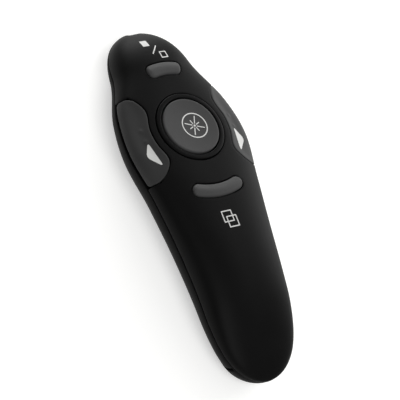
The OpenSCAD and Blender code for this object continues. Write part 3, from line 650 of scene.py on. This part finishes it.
def tongue(side, n=60):
    """An upright strip in the slit under a side key: four corners carried along the parting line."""
    y = np.linspace(*SLIT_Y, n)
    x = half_width(y) - 2.2
    corners = [(x, -0.7), (x, 1.2), (x - 0.5, 1.2), (x - 0.5, -0.7)]
    points = np.stack([np.stack([side * a, y, parting(y) + b], -1) for a, b in corners], 1)
    ids = [np.arange(4) + 4 * k for k in range(n)]
    last = 4 * n - 4
    ends = np.array([[0, 1, 2], [0, 2, 3], [last, last + 2, last + 1], [last, last + 3, last + 2]])
    faces = np.concatenate([strip(ids, False), ends])
    return points.reshape(-1, 3), faces if side > 0 else faces[:, ::-1]


lower_half = join(shell, tongue(1), tongue(-1), inner_faces("bottom_shell"))
piece("lower_case", *lower_half, "case", "satin_black_abs", ["bottom_shell"])


# %% Screw wells, and the floor of the slider's recess
WELL_RIM, WELL_FLOOR, SCREW_HOLE = 1.2, 2.2, 1.15
PLATE, PLATE_HOLE, PLATE_Z = (3.4, 5.15, 0.5), (2.25, 4.0, 0.3), 0.42


def rings(rows, centre, n=48):
    """A turned shape about an upright axis: each row is (radius, height)."""
    f = np.linspace(0, 2 * np.pi, n, endpoint=False)
    turn = np.stack([np.cos(f), np.sin(f)], -1)
    points = [np.concatenate([centre + r * turn, np.full((n, 1), z)], -1) for r, z in rows]
    ids = [np.arange(n) + n * i for i in range(len(rows))]
    return np.concatenate(points), strip(ids, False)


def underside(x, y):
    """Height of the lower skin over one point of the plan, never below the rest plane."""
    quarter = np.maximum(1 - (abs(x) / half_width(y)) ** LOWER, 0) ** (1 / LOWER)
    return float(np.maximum(parting(y) - depth(y) * quarter, 0))


def well(x, y):
    """A screw well: a straight wall, then a flat floor with the screw's hole."""
    z = underside(x, y)
    return rings([(WELL, z + WELL_RIM), (WELL, z + WELL_FLOOR), (SCREW_HOLE, z + WELL_FLOOR)], (x, y))


plate, plate_faces, plate_chains = fill(rounded_box(*PLATE), [rounded_box(*PLATE_HOLE)[::-1]])
plate = np.concatenate([plate + [SLOT_X, SLOT_Y], np.full((len(plate), 1), PLATE_Z)], -1)
slot_wall = np.concatenate([plate[plate_chains[1]], plate[plate_chains[1]] + [0, 0, 1.2]])
n = len(plate_chains[1])
slot_wall = (slot_wall, strip([np.arange(n), np.arange(n) + n], True))
wells = join(*[well(x, y) for x, y in SCREWS], (plate, plate_faces[:, ::-1]), slot_wall)
piece("screw_wells", *wells, "case", "satin_black_abs")

# %% [markdown]
# ## The battery door
#
# The door is a part of the lower skin, cut along the sides and across the
# front, and it slides off the tail. A thumb pushes it, so it has a field of
# shallow grooves in the flat of the underside. A bump map could draw them, but
# it would be lost where only the mesh is kept, so the skin itself moves. They
# are sunk, not raised, because the underside rests on the table.

# %% The battery door's outline
DOOR_DROP = 0.5


def door_skin(uv):
    """The lower skin with its upper edge a little further below the parting line."""
    return lower(uv, DOOR_DROP)


def door_outline():
    """Anticlockwise: up the right edge, across the front and down the left, then over the tail."""
    edge = ARC - LIP
    y = np.linspace(DOOR_TAIL, DOOR_FRONT - LIP, 120)
    x = np.minimum(DOOR_HALF - LIP, half_width(y) * 0.9999)
    line = unroll_low(x, y)
    start = int(np.argmax(line[:, 0] < edge))
    up_edge = side_chain(-V_END, line[start, 1], edge)[:-1]
    right = np.concatenate([up_edge, line[start:]])
    across = np.linspace(DOOR_HALF - LIP, LIP - DOOR_HALF, 40)[1:-1]
    front = unroll_low(across, np.full(38, DOOR_FRONT - LIP))
    tail = np.stack([np.linspace(-edge, edge, 40)[1:-1], np.full(38, -V_END)], -1)
    return np.concatenate([right, front, right[::-1] * [-1, 1], tail]), 2 * len(right) + len(front)


outline, seen = door_outline()
print("points round the door:", len(outline))

# %% The battery door with its grip
GRIP_Y, GRIP_HALF, GROOVE_STEP, GROOVE_DEPTH = -16, (7.5, 7.0), 1.6, 0.3


def grip_grooves(p, uv):
    """Cosine grooves across the door, inside a soft oval on its flat."""
    x, y, z = p.T
    field = np.clip(1.5 * (1 - (x / GRIP_HALF[0]) ** 2 - ((y - GRIP_Y) / GRIP_HALF[1]) ** 2), 0, 1)
    return -GROOVE_DEPTH * field * (0.5 + 0.5 * np.cos(2 * np.pi * y / GROOVE_STEP)) * (z < 2)


lipped = np.arange(seen - 1)
shell = panel(door_skin, outline, shape=grip_grooves, radius=LIP, spacing=0.6, closed=lipped)
cover = join(shell, inner_faces("battery_door"))
piece("battery_cover", *cover, "door", "satin_black_abs", ["battery_door"])

# %% [markdown]
# ## The round laser button
#
# On the real object a thumb finds this button by feel: a ring stands just proud
# of the case, with a dark groove on each side of it, and the button inside is
# dished. Turned like a coin, both would be flat, and the groove would gape where
# the case curves away. So both follow the skin, and the groove is even all round.

# %% The ring
RING_RISE, RING_MIDDLE = 0.32, 11.3
ring_out, ring_in = DISC_R + GAP + RING_W, DISC_R + GAP


def ring_shape(p, uv):
    """The ring's face, a third of a millimetre above the skin, lower by a square off its middle."""
    r = np.hypot(p[:, 0], p[:, 1] - DISC_Y)
    return RING_RISE - 0.1 * ((r - RING_MIDDLE) / 0.9) ** 2


ring_outline = unroll(*circle(0, DISC_Y, ring_out - 0.45))
ring_hole = unroll(*circle(0, DISC_Y, ring_in + 0.3))[::-1]
ring = panel(upper, ring_outline, [ring_hole], ring_shape, radius=0.3, wall=1.6, spacing=0.4)
piece("thumb_ring", *ring, "case", "ring_black", ["button_ring"])

# %% The round button
DISC_RISE, DISH, DISH_R = 0.5, 0.75, 9.7


def disc_shape(p, uv):
    """Half a millimetre up at the rim, and a parabolic dish that is deepest at the centre."""
    r = np.hypot(p[:, 0], p[:, 1] - DISC_Y)
    return DISC_RISE - DISH * np.clip(1 - (r / DISH_R) ** 2, 0, 1)


disc_outline = unroll(*circle(0, DISC_Y, DISC_R - 0.62))
disc = panel(upper, disc_outline, (), disc_shape, radius=0.4, wall=2.0, spacing=0.5)
piece("laser_disc", *disc, "laser_button_set", "disc_grey", ["laser_button"])

# %% [markdown]
# ## Side keys and small buttons
#
# The side keys are thin skins of the case's own form, dished for a finger, with
# two small bumps so that a finger can tell where it is. The two small buttons
# are soft pillows that stand almost a millimetre proud: their faces are crowned,
# and their rolled edge is larger than their rise. Sculpting could give the same
# forms, but as formulas the left key is an exact mirror of the right.

# %% The two side keys
KEY_ROLL, KEY_DISH, OUTER_RIM = 0.45, 0.75, 3.5
BUMP, BUMP_X, BUMP_Y = 0.3, 17.6, (20.55, 24.49)


def key_shape(p, uv):
    """A sine dish along the key, and two bell-shaped bumps; the same on both sides."""
    x, y = np.abs(p[:, 0]), p[:, 1]
    inner_u = unroll(curve(KEY_Y, KEY_X, y), y)[:, 0]
    across = np.clip((np.abs(uv[:, 0]) - inner_u) / (ARC - OUTER_RIM - inner_u), 0, 1)
    along = np.clip((y - KEY_LOW) / (KEY_HIGH - KEY_LOW), 0, 1)
    dish = KEY_DISH * np.sin(np.pi * across**0.8) ** 2 * np.sin(np.pi * along) ** 0.8
    bumps = sum(np.exp(-((x - BUMP_X) ** 2 + (y - c) ** 2) / 0.35) for c in BUMP_Y)
    return BUMP * bumps - dish


def shrink(loop, by):
    """The loop moved inwards, to the left of its anticlockwise run."""
    along = np.roll(loop, -1, 0) - np.roll(loop, 1, 0)
    along /= np.linalg.norm(along, axis=1, keepdims=True)
    return loop + by * np.stack([-along[:, 1], along[:, 0]], -1)


key_loop = spread(shrink(spread(key_outline(), 0.5), KEY_ROLL), 0.5)
key = panel(upper, key_loop, (), key_shape, radius=KEY_ROLL, wall=1.5, spacing=0.55)
piece("forward_key", *key, "page_forward_set", "key_grey", ["page_forward_key"])
left = (key[0] * [-1, 1, 1], key[1][:, ::-1])
piece("back_key", *left, "page_back_set", "key_grey", ["page_back_key"])

# %% The two small buttons
BUTTON_ROLL, BUTTON_RISE, BUTTON_CROWN = 1.0, 0.82, 0.3


def small_button(radius, width, half_angle, corner, middle):
    """A bent bar about the round button's centre, with a crowned face and a soft edge."""
    plan = band(radius, width, half_angle, corner, -BUTTON_ROLL, middle)
    face = width / 2 - BUTTON_ROLL

    def crown(p, uv):
        """Highest along the bar's middle, and lower by the square of the offset."""
        offset = (np.hypot(p[:, 0], p[:, 1] - DISC_Y) - radius) / face
        return BUTTON_RISE - BUTTON_CROWN * np.clip(offset, -1, 1) ** 2

    return panel(upper, unroll(*plan), (), crown, radius=BUTTON_ROLL, wall=2.4, spacing=0.4)


window_bar, blank_bar = small_button(*WINDOW_BAR, REAR), small_button(*BLANK_BAR, FRONT)
piece("window_bar", *window_bar, "window_set", "button_grey", ["window_button"])
piece("blank_bar", *blank_bar, "blank_screen_set", "button_grey", ["blank_screen_button"])

# %% [markdown]
# ## The nose and the receiver
#
# The laser looks out through a short bezel whose face follows the rounded nose.
# Its rows are circles about the beam; each point's place along the body is
# found by halving, until it lies on the skin. The receiver's cap closes its bay
# flush with the side and has ribs to pull it by.

# %% The laser's bezel
def nose_y(x, z):
    """How far forward the skin reaches over (x, z), found by halving."""
    low, high = np.full(np.shape(x), 40.0), np.full(np.shape(x), 61.96)
    for _ in range(40):
        y = (low + high) / 2
        up = z >= parting(y)
        h = np.where(up, rise(y), depth(y))
        n = np.where(up, UPPER, LOWER)
        w, h = np.maximum(half_width(y), 1e-6), np.maximum(h, 1e-6)
        r = (np.abs(x) / w) ** n + (np.abs(z - parting(y)) / h) ** n
        low, high = np.where(r < 1, y, low), np.where(r < 1, high, y)
    return low


def bezel_rows(rows, n=96):
    """Circles about the beam: (radius, distance before the skin) or (radius, None, y)."""
    f = np.linspace(0, 2 * np.pi, n, endpoint=False)
    blocks = []
    for r, out, *place in rows:
        x, z = r * np.cos(f), LASER_Z + r * np.sin(f)
        y = np.full(n, place[0]) if place else nose_y(x, z) + out
        blocks.append(np.stack([x, y, z], -1))
    return np.concatenate(blocks), strip([np.arange(n) + n * i for i in range(len(rows))], True)


LENS_SEAT_Y = 57.6
face = [(3.2, -1.2), (3.14, -0.12), (3.02, -0.03), (2.65, -0.03), (2.54, -0.08), (2.5, -0.25)]
bezel = bezel_rows([*face, (2.5, None, LENS_SEAT_Y)])
piece("nose_bezel", *tidy(*bezel), "case", "ring_black", ["laser_bezel"])


# %% The receiver's cap
CAP_HALF, CAP_ROLL, CAP_BACK = (7.5, 3.1), 0.4, 14.5
RIB_STEP, RIB_DEPTH = 2.4, 0.4


def cap_shape(p, uv):
    """Upright ribs between cosine grooves, inside a soft rectangle."""
    y, z = p[:, 1] - BAY[0], p[:, 2] - BAY[1]
    field = np.clip(4 - np.abs(y), 0, 1) * np.clip(2.6 * (2.0 - np.abs(z)), 0, 1)
    return -RIB_DEPTH * field * (0.5 - 0.5 * np.cos(2 * np.pi * y / RIB_STEP))


cap_box = rounded_box(CAP_HALF[0] - CAP_ROLL, CAP_HALF[1] - CAP_ROLL, 0.5)
cap_outline = on_side(*(cap_box + BAY).T)[::-1]
cap = panel(lower, cap_outline, (), cap_shape, radius=CAP_ROLL, spacing=0.4, back=CAP_BACK)
grip = join(cap, inner_faces("receiver_cap"))
piece("receiver_grip", *grip, "receiver", "satin_black_abs", ["receiver_cap"])

# %% [markdown]
# ## Printed marks
#
# The marks are pad-printed in white ink: a filled and a hollow square for
# blanking the screen, two lapped squares for switching windows, an arrow on
# each key and a burst of light on the laser button. A texture would blur close
# up. Ink is a few hundredths of a millimetre thick, so each mark is a thin sheet
# on the piece that carries it, and follows its dishes and crowns.

# %% Marks as outlines in plan
INK, STROKE = 0.03, 0.38


def polygon(corners, r=0.0, step=0.3):
    """A closed outline through the corners, each eased by a parabola that starts r away from it."""
    c = np.asarray(corners, float)
    if r:
        back, ahead = np.roll(c, 1, 0) - c, np.roll(c, -1, 0) - c
        back /= np.linalg.norm(back, axis=1, keepdims=True)
        ahead /= np.linalg.norm(ahead, axis=1, keepdims=True)
        t = np.linspace(0, 1, 7)[:, None, None]
        a, b = c + back * r, c + ahead * r
        c = ((1 - t) ** 2 * a + 2 * t * (1 - t) * c + t**2 * b).transpose(1, 0, 2).reshape(-1, 2)
    c = spread(c, step)
    area = (c[:, 0] * np.roll(c[:, 1], -1) - c[:, 1] * np.roll(c[:, 0], -1)).sum()
    return c if area > 0 else c[::-1]


def square(x, y, side):
    """The corners of an upright square about (x, y)."""
    h = side / 2
    return [(x - h, y - h), (x + h, y - h), (x + h, y + h), (x - h, y + h)]


def bar(a, b, width):
    """A straight stroke from a to b."""
    a, b = np.asarray(a, float), np.asarray(b, float)
    side = np.array([a[1] - b[1], b[0] - a[0]])
    side *= width / 2 / np.linalg.norm(side)
    return [a - side, b - side, b + side, a + side]


print("points round a 4 mm square:", len(polygon(square(0, 0, 4))))


# %% An outline as a sheet of ink
def mark(name, drawings, body, base=None):
    """Each drawing is an outline with its holes, in plan; base is the shape of the piece underneath."""
    sheets = []

    def lift(p, uv):
        """The ink's thickness on top of the shape of the piece underneath."""
        return np.full(len(p), INK) if base is None else base(p, uv) + INK

    for outer, *inner in drawings:
        loops = [unroll(loop[:, 0], loop[:, 1]) for loop in (outer, *inner)]
        sheets.append(panel(upper, loops[0], [l[::-1] for l in loops[1:]], lift, radius=0, spacing=0.35))
    piece(name, *join(*sheets), body)


print("ink stands", INK, "mm proud")


# %% The marks on the case
def frame_line(x, y, side):
    """A hollow square: its outer and its inner outline."""
    return [polygon(square(x, y, side)), polygon(square(x, y, side - 2 * STROKE))]


filled = [polygon(square(-1.62, 54.84, 2.5))]
slash = [polygon(bar((1.77, 53.35), (-1.15, 50.15), STROKE))]
mark("blank_mark", [filled, slash, frame_line(2.65, 49.46, 2.6)], "case")
mark("window_mark", [frame_line(-1.05, -10.05, 3.95), frame_line(0.2, -11.95, 3.95)], "case")

# %% The marks on the keys and on the round button
arrow = polygon([(17.2, 20.3), (19.6, 15.3), (15.4, 10.9)], 1.6)
mark("forward_mark", [[arrow]], "page_forward_set", key_shape)
mark("back_mark", [[(arrow * [-1, 1])[::-1]]], "page_back_set", key_shape)
CENTRE, BURST_R = np.array([1.6, 22.4]), 4.6


def burst():
    """A ring round eight rays, short and long in turn, and a dot."""
    ring_mark = [np.stack(circle(*CENTRE, r, 120), -1) for r in (BURST_R, BURST_R - STROKE)]
    turns = np.radians(np.arange(8) * 45 + 22.5)
    ways = np.stack([np.cos(turns), np.sin(turns)], -1)
    tips = np.where(np.arange(8) % 2, 3.6, 2.3)
    rays = [
        [polygon(bar(CENTRE + 0.75 * way, CENTRE + tip * way, 0.34), 0.0, 0.2)]
        for way, tip in zip(ways, tips)
    ]
    return [ring_mark, *rays, [np.stack(circle(*CENTRE, 0.4, 24), -1)]]


mark("laser_mark", burst(), "laser_button_set", disc_shape)

# %% [markdown]
# ## The camera
#
# The photograph looks down on the left side of the remote from far away, with
# the camera turned so that the remote lies along the picture's diagonal. The
# camera's place was fitted to the object's own outline, then written here as a
# distance, two angles and a roll.

# %% The camera
AZIMUTH, ELEVATION, ROLL = np.radians([-68.196, 52.098, 51.091])
DISTANCE, SCALE = 628.22, 3.10994
# How far the camera stands left and above of straight over the body's middle, in the picture's axes
SHIFT_R, SHIFT_U = 0.536, 0.207
# Pixels across the picture, and the sensor's width in millimetres
PICTURE, SENSOR = 400, 36


def place_camera():
    """The camera's axes from three turns, its lens from the scale in pixels per millimetre.

    c points from the object to the camera, r to the picture's right and u to its top.
    """
    flat = np.array([np.sin(AZIMUTH), -np.cos(AZIMUTH), 0]) * np.cos(ELEVATION)
    c = flat + [0, 0, np.sin(ELEVATION)]
    right = np.cross([0, 0, 1], c)
    right /= np.linalg.norm(right)
    up = np.cross(c, right)
    r = np.cos(ROLL) * right + np.sin(ROLL) * up
    u = -np.sin(ROLL) * right + np.cos(ROLL) * up
    spot = np.array([0, 0, 10]) - SHIFT_R * r + SHIFT_U * u + DISTANCE * c
    camera = bpy.data.objects.new("camera", bpy.data.cameras.new("camera"))
    camera.data.sensor_width = SENSOR
    camera.data.lens = SCALE * DISTANCE / PICTURE * SENSOR
    camera.data.clip_start = 0.01
    rows = [[*a, b] for a, b in zip(np.stack([r, u, c], 1), spot / 1000)]
    camera.matrix_world = Matrix(rows + [[0, 0, 0, 1]])
    scene.collection.objects.link(camera)
    scene.camera = camera
    return camera


print("lens:", round(place_camera().data.lens, 2), "mm")

# %% [markdown]
# ## Materials
#
# Nearly everything that shows is moulded plastic. The upper half is ABS under a
# soft-touch coat: a thin rubbery lacquer, near-black, with a broad dull sheen.
# The lower half and the door are bare satin ABS. Keys and buttons are moulded
# in greys. A spark-eroded mould leaves a grain of about a tenth of a
# millimetre; it is drawn here a little coarser, so that it shows. The marks are
# white pad-printing ink. Each material is a few nodes on Object coordinates.

# %% Colours and one helper that adds a node
def linear(code):
    """sRGB hex to linear: divide by 12.92 in the darks, a power of 2.4 above."""
    c = np.array([int(code[i : i + 2], 16) for i in (1, 3, 5)]) / 255
    return (*np.where(c <= 0.04045, c / 12.92, ((c + 0.055) / 1.055) ** 2.4), 1.0)


def add(tree, kind, settings=None, **links):
    """Adds a node: settings are attributes or input values, and links are input=(node, output)."""
    node = tree.nodes.new("ShaderNode" + kind)
    for key, value in (settings or {}).items():
        if key in node.inputs:
            node.inputs[key].default_value = value
        else:
            setattr(node, key, value)
    for key, (source, output) in links.items():
        tree.links.new(source.outputs[output], node.inputs[key.replace("_", " ")])
    return node


def new_material(name):
    """An empty material with its shader and its Object coordinates."""
    material = bpy.data.materials.new(name)
    material.use_nodes = True
    tree = material.node_tree
    tree.nodes.clear()
    shader = add(tree, "BsdfPrincipled")
    out = add(tree, "OutputMaterial", Surface=(shader, 0))
    return material, tree, shader, add(tree, "TexCoord")


print("soft-touch black:", linear("#090909"))


# %% Moulded plastic
def moulded(name, colour, mottle, rough, rough_spread, grain_mm, bump, ior=1.5, coat=0.0):
    """Moulded plastic: a faint mottle, roughness that drifts over a centimetre, and a grain as bump."""
    material, tree, shader, where = new_material(name)
    shader.inputs["IOR"].default_value = ior
    shader.inputs["Coat Weight"].default_value = coat
    shader.inputs["Coat Roughness"].default_value = 0.35
    drift = add(tree, "TexNoise", {"Scale": 90.0, "Detail": 3.0}, Vector=(where, "Object"))
    fine = {"Scale": 1000 / grain_mm / 2, "Detail": 2.0}
    grain = add(tree, "TexNoise", fine, Vector=(where, "Object"))
    tint = add(tree, "ValToRGB", {}, Fac=(drift, 0))
    tint.color_ramp.elements[0].position, tint.color_ramp.elements[1].position = 0.3, 0.7
    tint.color_ramp.elements[0].color = linear(mottle)
    tint.color_ramp.elements[1].color = linear(colour)
    tree.links.new(tint.outputs[0], shader.inputs["Base Color"])
    span = {"To Min": rough - rough_spread, "To Max": rough + rough_spread}
    level = add(tree, "MapRange", span, Value=(drift, 0))
    tree.links.new(level.outputs[0], shader.inputs["Roughness"])
    relief = add(tree, "Bump", {"Strength": bump, "Distance": 0.00004}, Height=(grain, 0))
    tree.links.new(relief.outputs[0], shader.inputs["Normal"])
    return material


print("plastic's grain and drift are noise on Object coordinates")

# %% The plastics
# ABS has an IOR of about 1.5. Pits much finer than a pixel break up its mirror part,
# so the IOR of each finish is set lower until the sheen is that of the photograph.
FINISH = {
    # Soft-touch lacquer over ABS: near-black and dull, the most pitted of all
    "soft_touch_black": moulded(
        "soft_touch_lacquer", "#090909", "#070707", 0.5, 0.04, 0.25, 0.25, ior=1.17
    ),
    # Bare ABS from a finely etched mould, which scatters the light nearly as much
    "satin_black_abs": moulded("satin_black_abs", "#0a0a0a", "#080808", 0.5, 0.05, 0.3, 0.3, ior=1.12),
    # The ring and the bezel are the same black without the lacquer's pits
    "ring_black": moulded("fine_black_abs", "#0b0b0b", "#090909", 0.42, 0.03, 0.3, 0.15, ior=1.15),
    # The round button is ABS moulded in dark grey
    "disc_grey": moulded("disc_grey_abs", "#3b3b3b", "#363636", 0.55, 0.04, 0.3, 0.3, ior=1.3),
    # The keys are softer, a rubbery grey over ABS
    "key_grey": moulded("key_grey_abs", "#333333", "#2e2e2e", 0.52, 0.04, 0.35, 0.35, ior=1.25),
    # The small buttons are silicone-coated
    "button_grey": moulded("button_grey_rubber", "#454545", "#404040", 0.6, 0.04, 0.35, 0.3, ior=1.3),
    "slider_black": moulded("slider_black_abs", "#232326", "#1c1c1f", 0.45, 0.04, 0.3, 0.3),
    # Natural nylon: the switch plungers and the receiver's tongue
    "white_nylon": moulded("white_nylon", "#e4e2da", "#dad7cd", 0.45, 0.05, 0.4, 0.2),
    "chip_black": moulded("epoxy_black", "#1c1d1f", "#151617", 0.5, 0.05, 0.2, 0.4),
    "ceramic_tan": moulded("fired_ceramic", "#a48a66", "#93794f", 0.4, 0.05, 0.3, 0.2),
    # The cells' printed plastic jacket
    "cell_jacket": moulded("cell_jacket_film", "#b08b4e", "#a6803f", 0.25, 0.05, 0.5, 0.1, coat=0.6),
}
print(len(FINISH), "plastics")


# %% Metals, circuit board and lens
STRETCH = 30.0


def metal(name, colour, shade, rough, brushed_mm, along):
    """Metal whose rolling or plating marks run along one axis: a stretched noise."""
    material, tree, shader, where = new_material(name)
    shader.inputs["Metallic"].default_value = 1.0
    stretch = [1.0 if k == along else STRETCH for k in range(3)]
    turned = add(tree, "Mapping", {"Scale": stretch}, Vector=(where, "Object"))
    fine = {"Scale": 1000 / brushed_mm / STRETCH, "Detail": 3.0}
    marks = add(tree, "TexNoise", fine, Vector=(turned, 0))
    tint = add(tree, "ValToRGB", {}, Fac=(marks, 0))
    tint.color_ramp.elements[0].color, tint.color_ramp.elements[1].color = linear(shade), linear(colour)
    tree.links.new(tint.outputs[0], shader.inputs["Base Color"])
    level = add(tree, "MapRange", {"To Min": rough - 0.08, "To Max": rough + 0.08}, Value=(marks, 0))
    tree.links.new(level.outputs[0], shader.inputs["Roughness"])
    return material


def clear_plastic(name, colour, weight, rough):
    """Moulded clear acrylic or polycarbonate, with the faint flow lines of its mould."""
    material, tree, shader, where = new_material(name)
    shader.inputs["IOR"].default_value = 1.49
    shader.inputs["Transmission Weight"].default_value = weight
    shader.inputs["Base Color"].default_value = linear(colour)
    flow = add(tree, "TexNoise", {"Scale": 300.0}, Vector=(where, "Object"))
    level = add(tree, "MapRange", {"To Min": rough, "To Max": rough + 0.06}, Value=(flow, 0))
    tree.links.new(level.outputs[0], shader.inputs["Roughness"])
    return material


def circuit(cell_mm=1.6):
    """Glass-epoxy board under green solder mask: copper shows as lighter green square cells."""
    material, tree, shader, where = new_material("solder_mask_green")
    squares = {"Scale": 1000 / cell_mm, "distance": "CHEBYCHEV"}
    cells = add(tree, "TexVoronoi", squares, Vector=(where, "Object"))
    tint = add(tree, "ValToRGB", {}, Fac=(cells, 0))
    tint.color_ramp.interpolation = "CONSTANT"
    tint.color_ramp.elements[0].color = linear("#1d5b3a")
    tint.color_ramp.elements[1].color = linear("#17492f")
    tint.color_ramp.elements[1].position = 0.42
    tree.links.new(tint.outputs[0], shader.inputs["Base Color"])
    level = add(tree, "MapRange", {"To Min": 0.25, "To Max": 0.4}, Value=(cells, 0))
    tree.links.new(level.outputs[0], shader.inputs["Roughness"])
    return material


print("brushed marks are stretched", STRETCH, "times")

# %% The other finishes
FINISH |= {
    "switch_steel": metal("tinned_steel", "#c9c9c6", "#b0b0ad", 0.32, 0.2, 0),
    "screw_steel": metal("zinc_plated_steel", "#a9a9a6", "#8f8f8c", 0.35, 0.2, 2),
    "contact_nickel": metal("nickel_plate", "#cfccc4", "#b5b2aa", 0.28, 0.15, 2),
    "barrel_brass": metal("turned_brass", "#c8a45c", "#ab8846", 0.3, 0.1, 0),
    "contact_gold": metal("gold_flash", "#d9b25a", "#c79d45", 0.25, 0.1, 0),
    "lens_acrylic": clear_plastic("lens_acrylic", "#eef4f6", 0.9, 0.03),
    "window_red": clear_plastic("dark_red_window", "#3a0d10", 0.35, 0.08),
    "circuit_green": circuit(),
}
# Pad-printing ink is a pigmented lacquer, much like a plastic
INK_WHITE = moulded("white_pad_ink", "#d0d0ce", "#c6c6c4", 0.5, 0.04, 0.2, 0.15)
print(len(FINISH) + 1, "materials")

# %% Every piece and every CAD node gets its material
slot_of = {part["node"]: part["material_slot"] for part in frame["record"]["subparts"]}
for name, obj in made.items():
    obj.data.materials.append(FINISH[obj["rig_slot"]] if "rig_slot" in obj else INK_WHITE)
for name, obj in frame["nodes"].items():
    obj.data.materials.clear()
    obj.data.materials.append(FINISH[slot_of[name]])
print("materials on", len(made), "new pieces and", len(frame["nodes"]), "CAD nodes")

# %% [markdown]
# ## Light and floor
#
# The photograph is a product shot on white: a broad soft light from the right
# draws a pale edge along that side, one low beyond the nose draws a sheen over
# it, and a third, high over the tail, shows the marks. The rest is low, even
# light, which leaves the left side nearly black. The floor is a plain pale grey.
# What the camera and mirror-like surfaces see of it is lifted to white through
# Light Path, so no more light has to fall on the object, and its shadow stays.

# %% Three lamps
def soft_light(name, spot, size, power):
    """A square lamp at spot, in metres, that looks at the object."""
    lamp = bpy.data.lights.new(name, "AREA")
    lamp.size, lamp.energy = size, power
    obj = bpy.data.objects.new(name, lamp)
    obj.location = spot
    obj.rotation_euler = (Vector((0, 0, 0.01)) - Vector(spot)).to_track_quat("-Z", "Y").to_euler()
    scene.collection.objects.link(obj)


soft_light("right_softbox", (0.62, 0.16, 0.26), 0.5, 2.9)
soft_light("ceiling_softbox", (-0.25, -0.45, 0.75), 0.6, 3.6)
soft_light("back_softbox", (0.20, 0.75, 0.14), 0.5, 5.0)

# %% The world: dim to the object, white to the camera
world = bpy.data.worlds.new("studio")
scene.world = world
world.use_nodes = True
sky = world.node_tree
sky.nodes.clear()
dim = add(sky, "Background", {"Color": (1, 1, 1, 1), "Strength": 0.33})
white = add(sky, "Background", {"Color": (1, 1, 1, 1), "Strength": 1.0})
choose = add(sky, "MixShader")
camera_only = add(sky, "LightPath")
sky.links.new(camera_only.outputs["Is Camera Ray"], choose.inputs[0])
sky.links.new(dim.outputs[0], choose.inputs[1])
sky.links.new(white.outputs[0], choose.inputs[2])
add(sky, "OutputWorld", Surface=(choose, 0))
print("world strength on the object:", round(dim.inputs["Strength"].default_value, 2))


# %% The floor
def seen_as_white(tree):
    """1 where a ray comes from the camera, from a gloss or through something clear."""
    path = add(tree, "LightPath")
    one = add(tree, "Math", {"operation": "MAXIMUM"})
    tree.links.new(path.outputs["Is Camera Ray"], one.inputs[0])
    tree.links.new(path.outputs["Is Glossy Ray"], one.inputs[1])
    two = add(tree, "Math", {"operation": "MAXIMUM"})
    tree.links.new(one.outputs[0], two.inputs[0])
    tree.links.new(path.outputs["Is Transmission Ray"], two.inputs[1])
    return two


paper = bpy.data.materials.new("pale_floor")
paper.use_nodes = True
tree = paper.node_tree
tree.nodes.clear()
matt = add(tree, "BsdfDiffuse", {"Color": linear("#e8e8e6")})
glow = add(tree, "Emission", {"Strength": 0.45})
both = add(tree, "AddShader")
tree.links.new(matt.outputs[0], both.inputs[0])
tree.links.new(glow.outputs[0], both.inputs[1])
pick = add(tree, "MixShader")
tree.links.new(seen_as_white(tree).outputs[0], pick.inputs[0])
tree.links.new(matt.outputs[0], pick.inputs[1])
tree.links.new(both.outputs[0], pick.inputs[2])
add(tree, "OutputMaterial", Surface=(pick, 0))

sheet = bpy.data.meshes.new("floor")
corners = [(-3, -3, -0.0002), (3, -3, -0.0002), (3, 3, -0.0002), (-3, 3, -0.0002)]
sheet.from_pydata(corners, [], [(0, 1, 2, 3)])
sheet.materials.append(paper)
floor = bpy.data.objects.new("floor", sheet)
scene.collection.objects.link(floor)
scene.view_settings.view_transform = "Standard"
print("a pale floor,", 2 * corners[2][0], "m wide")
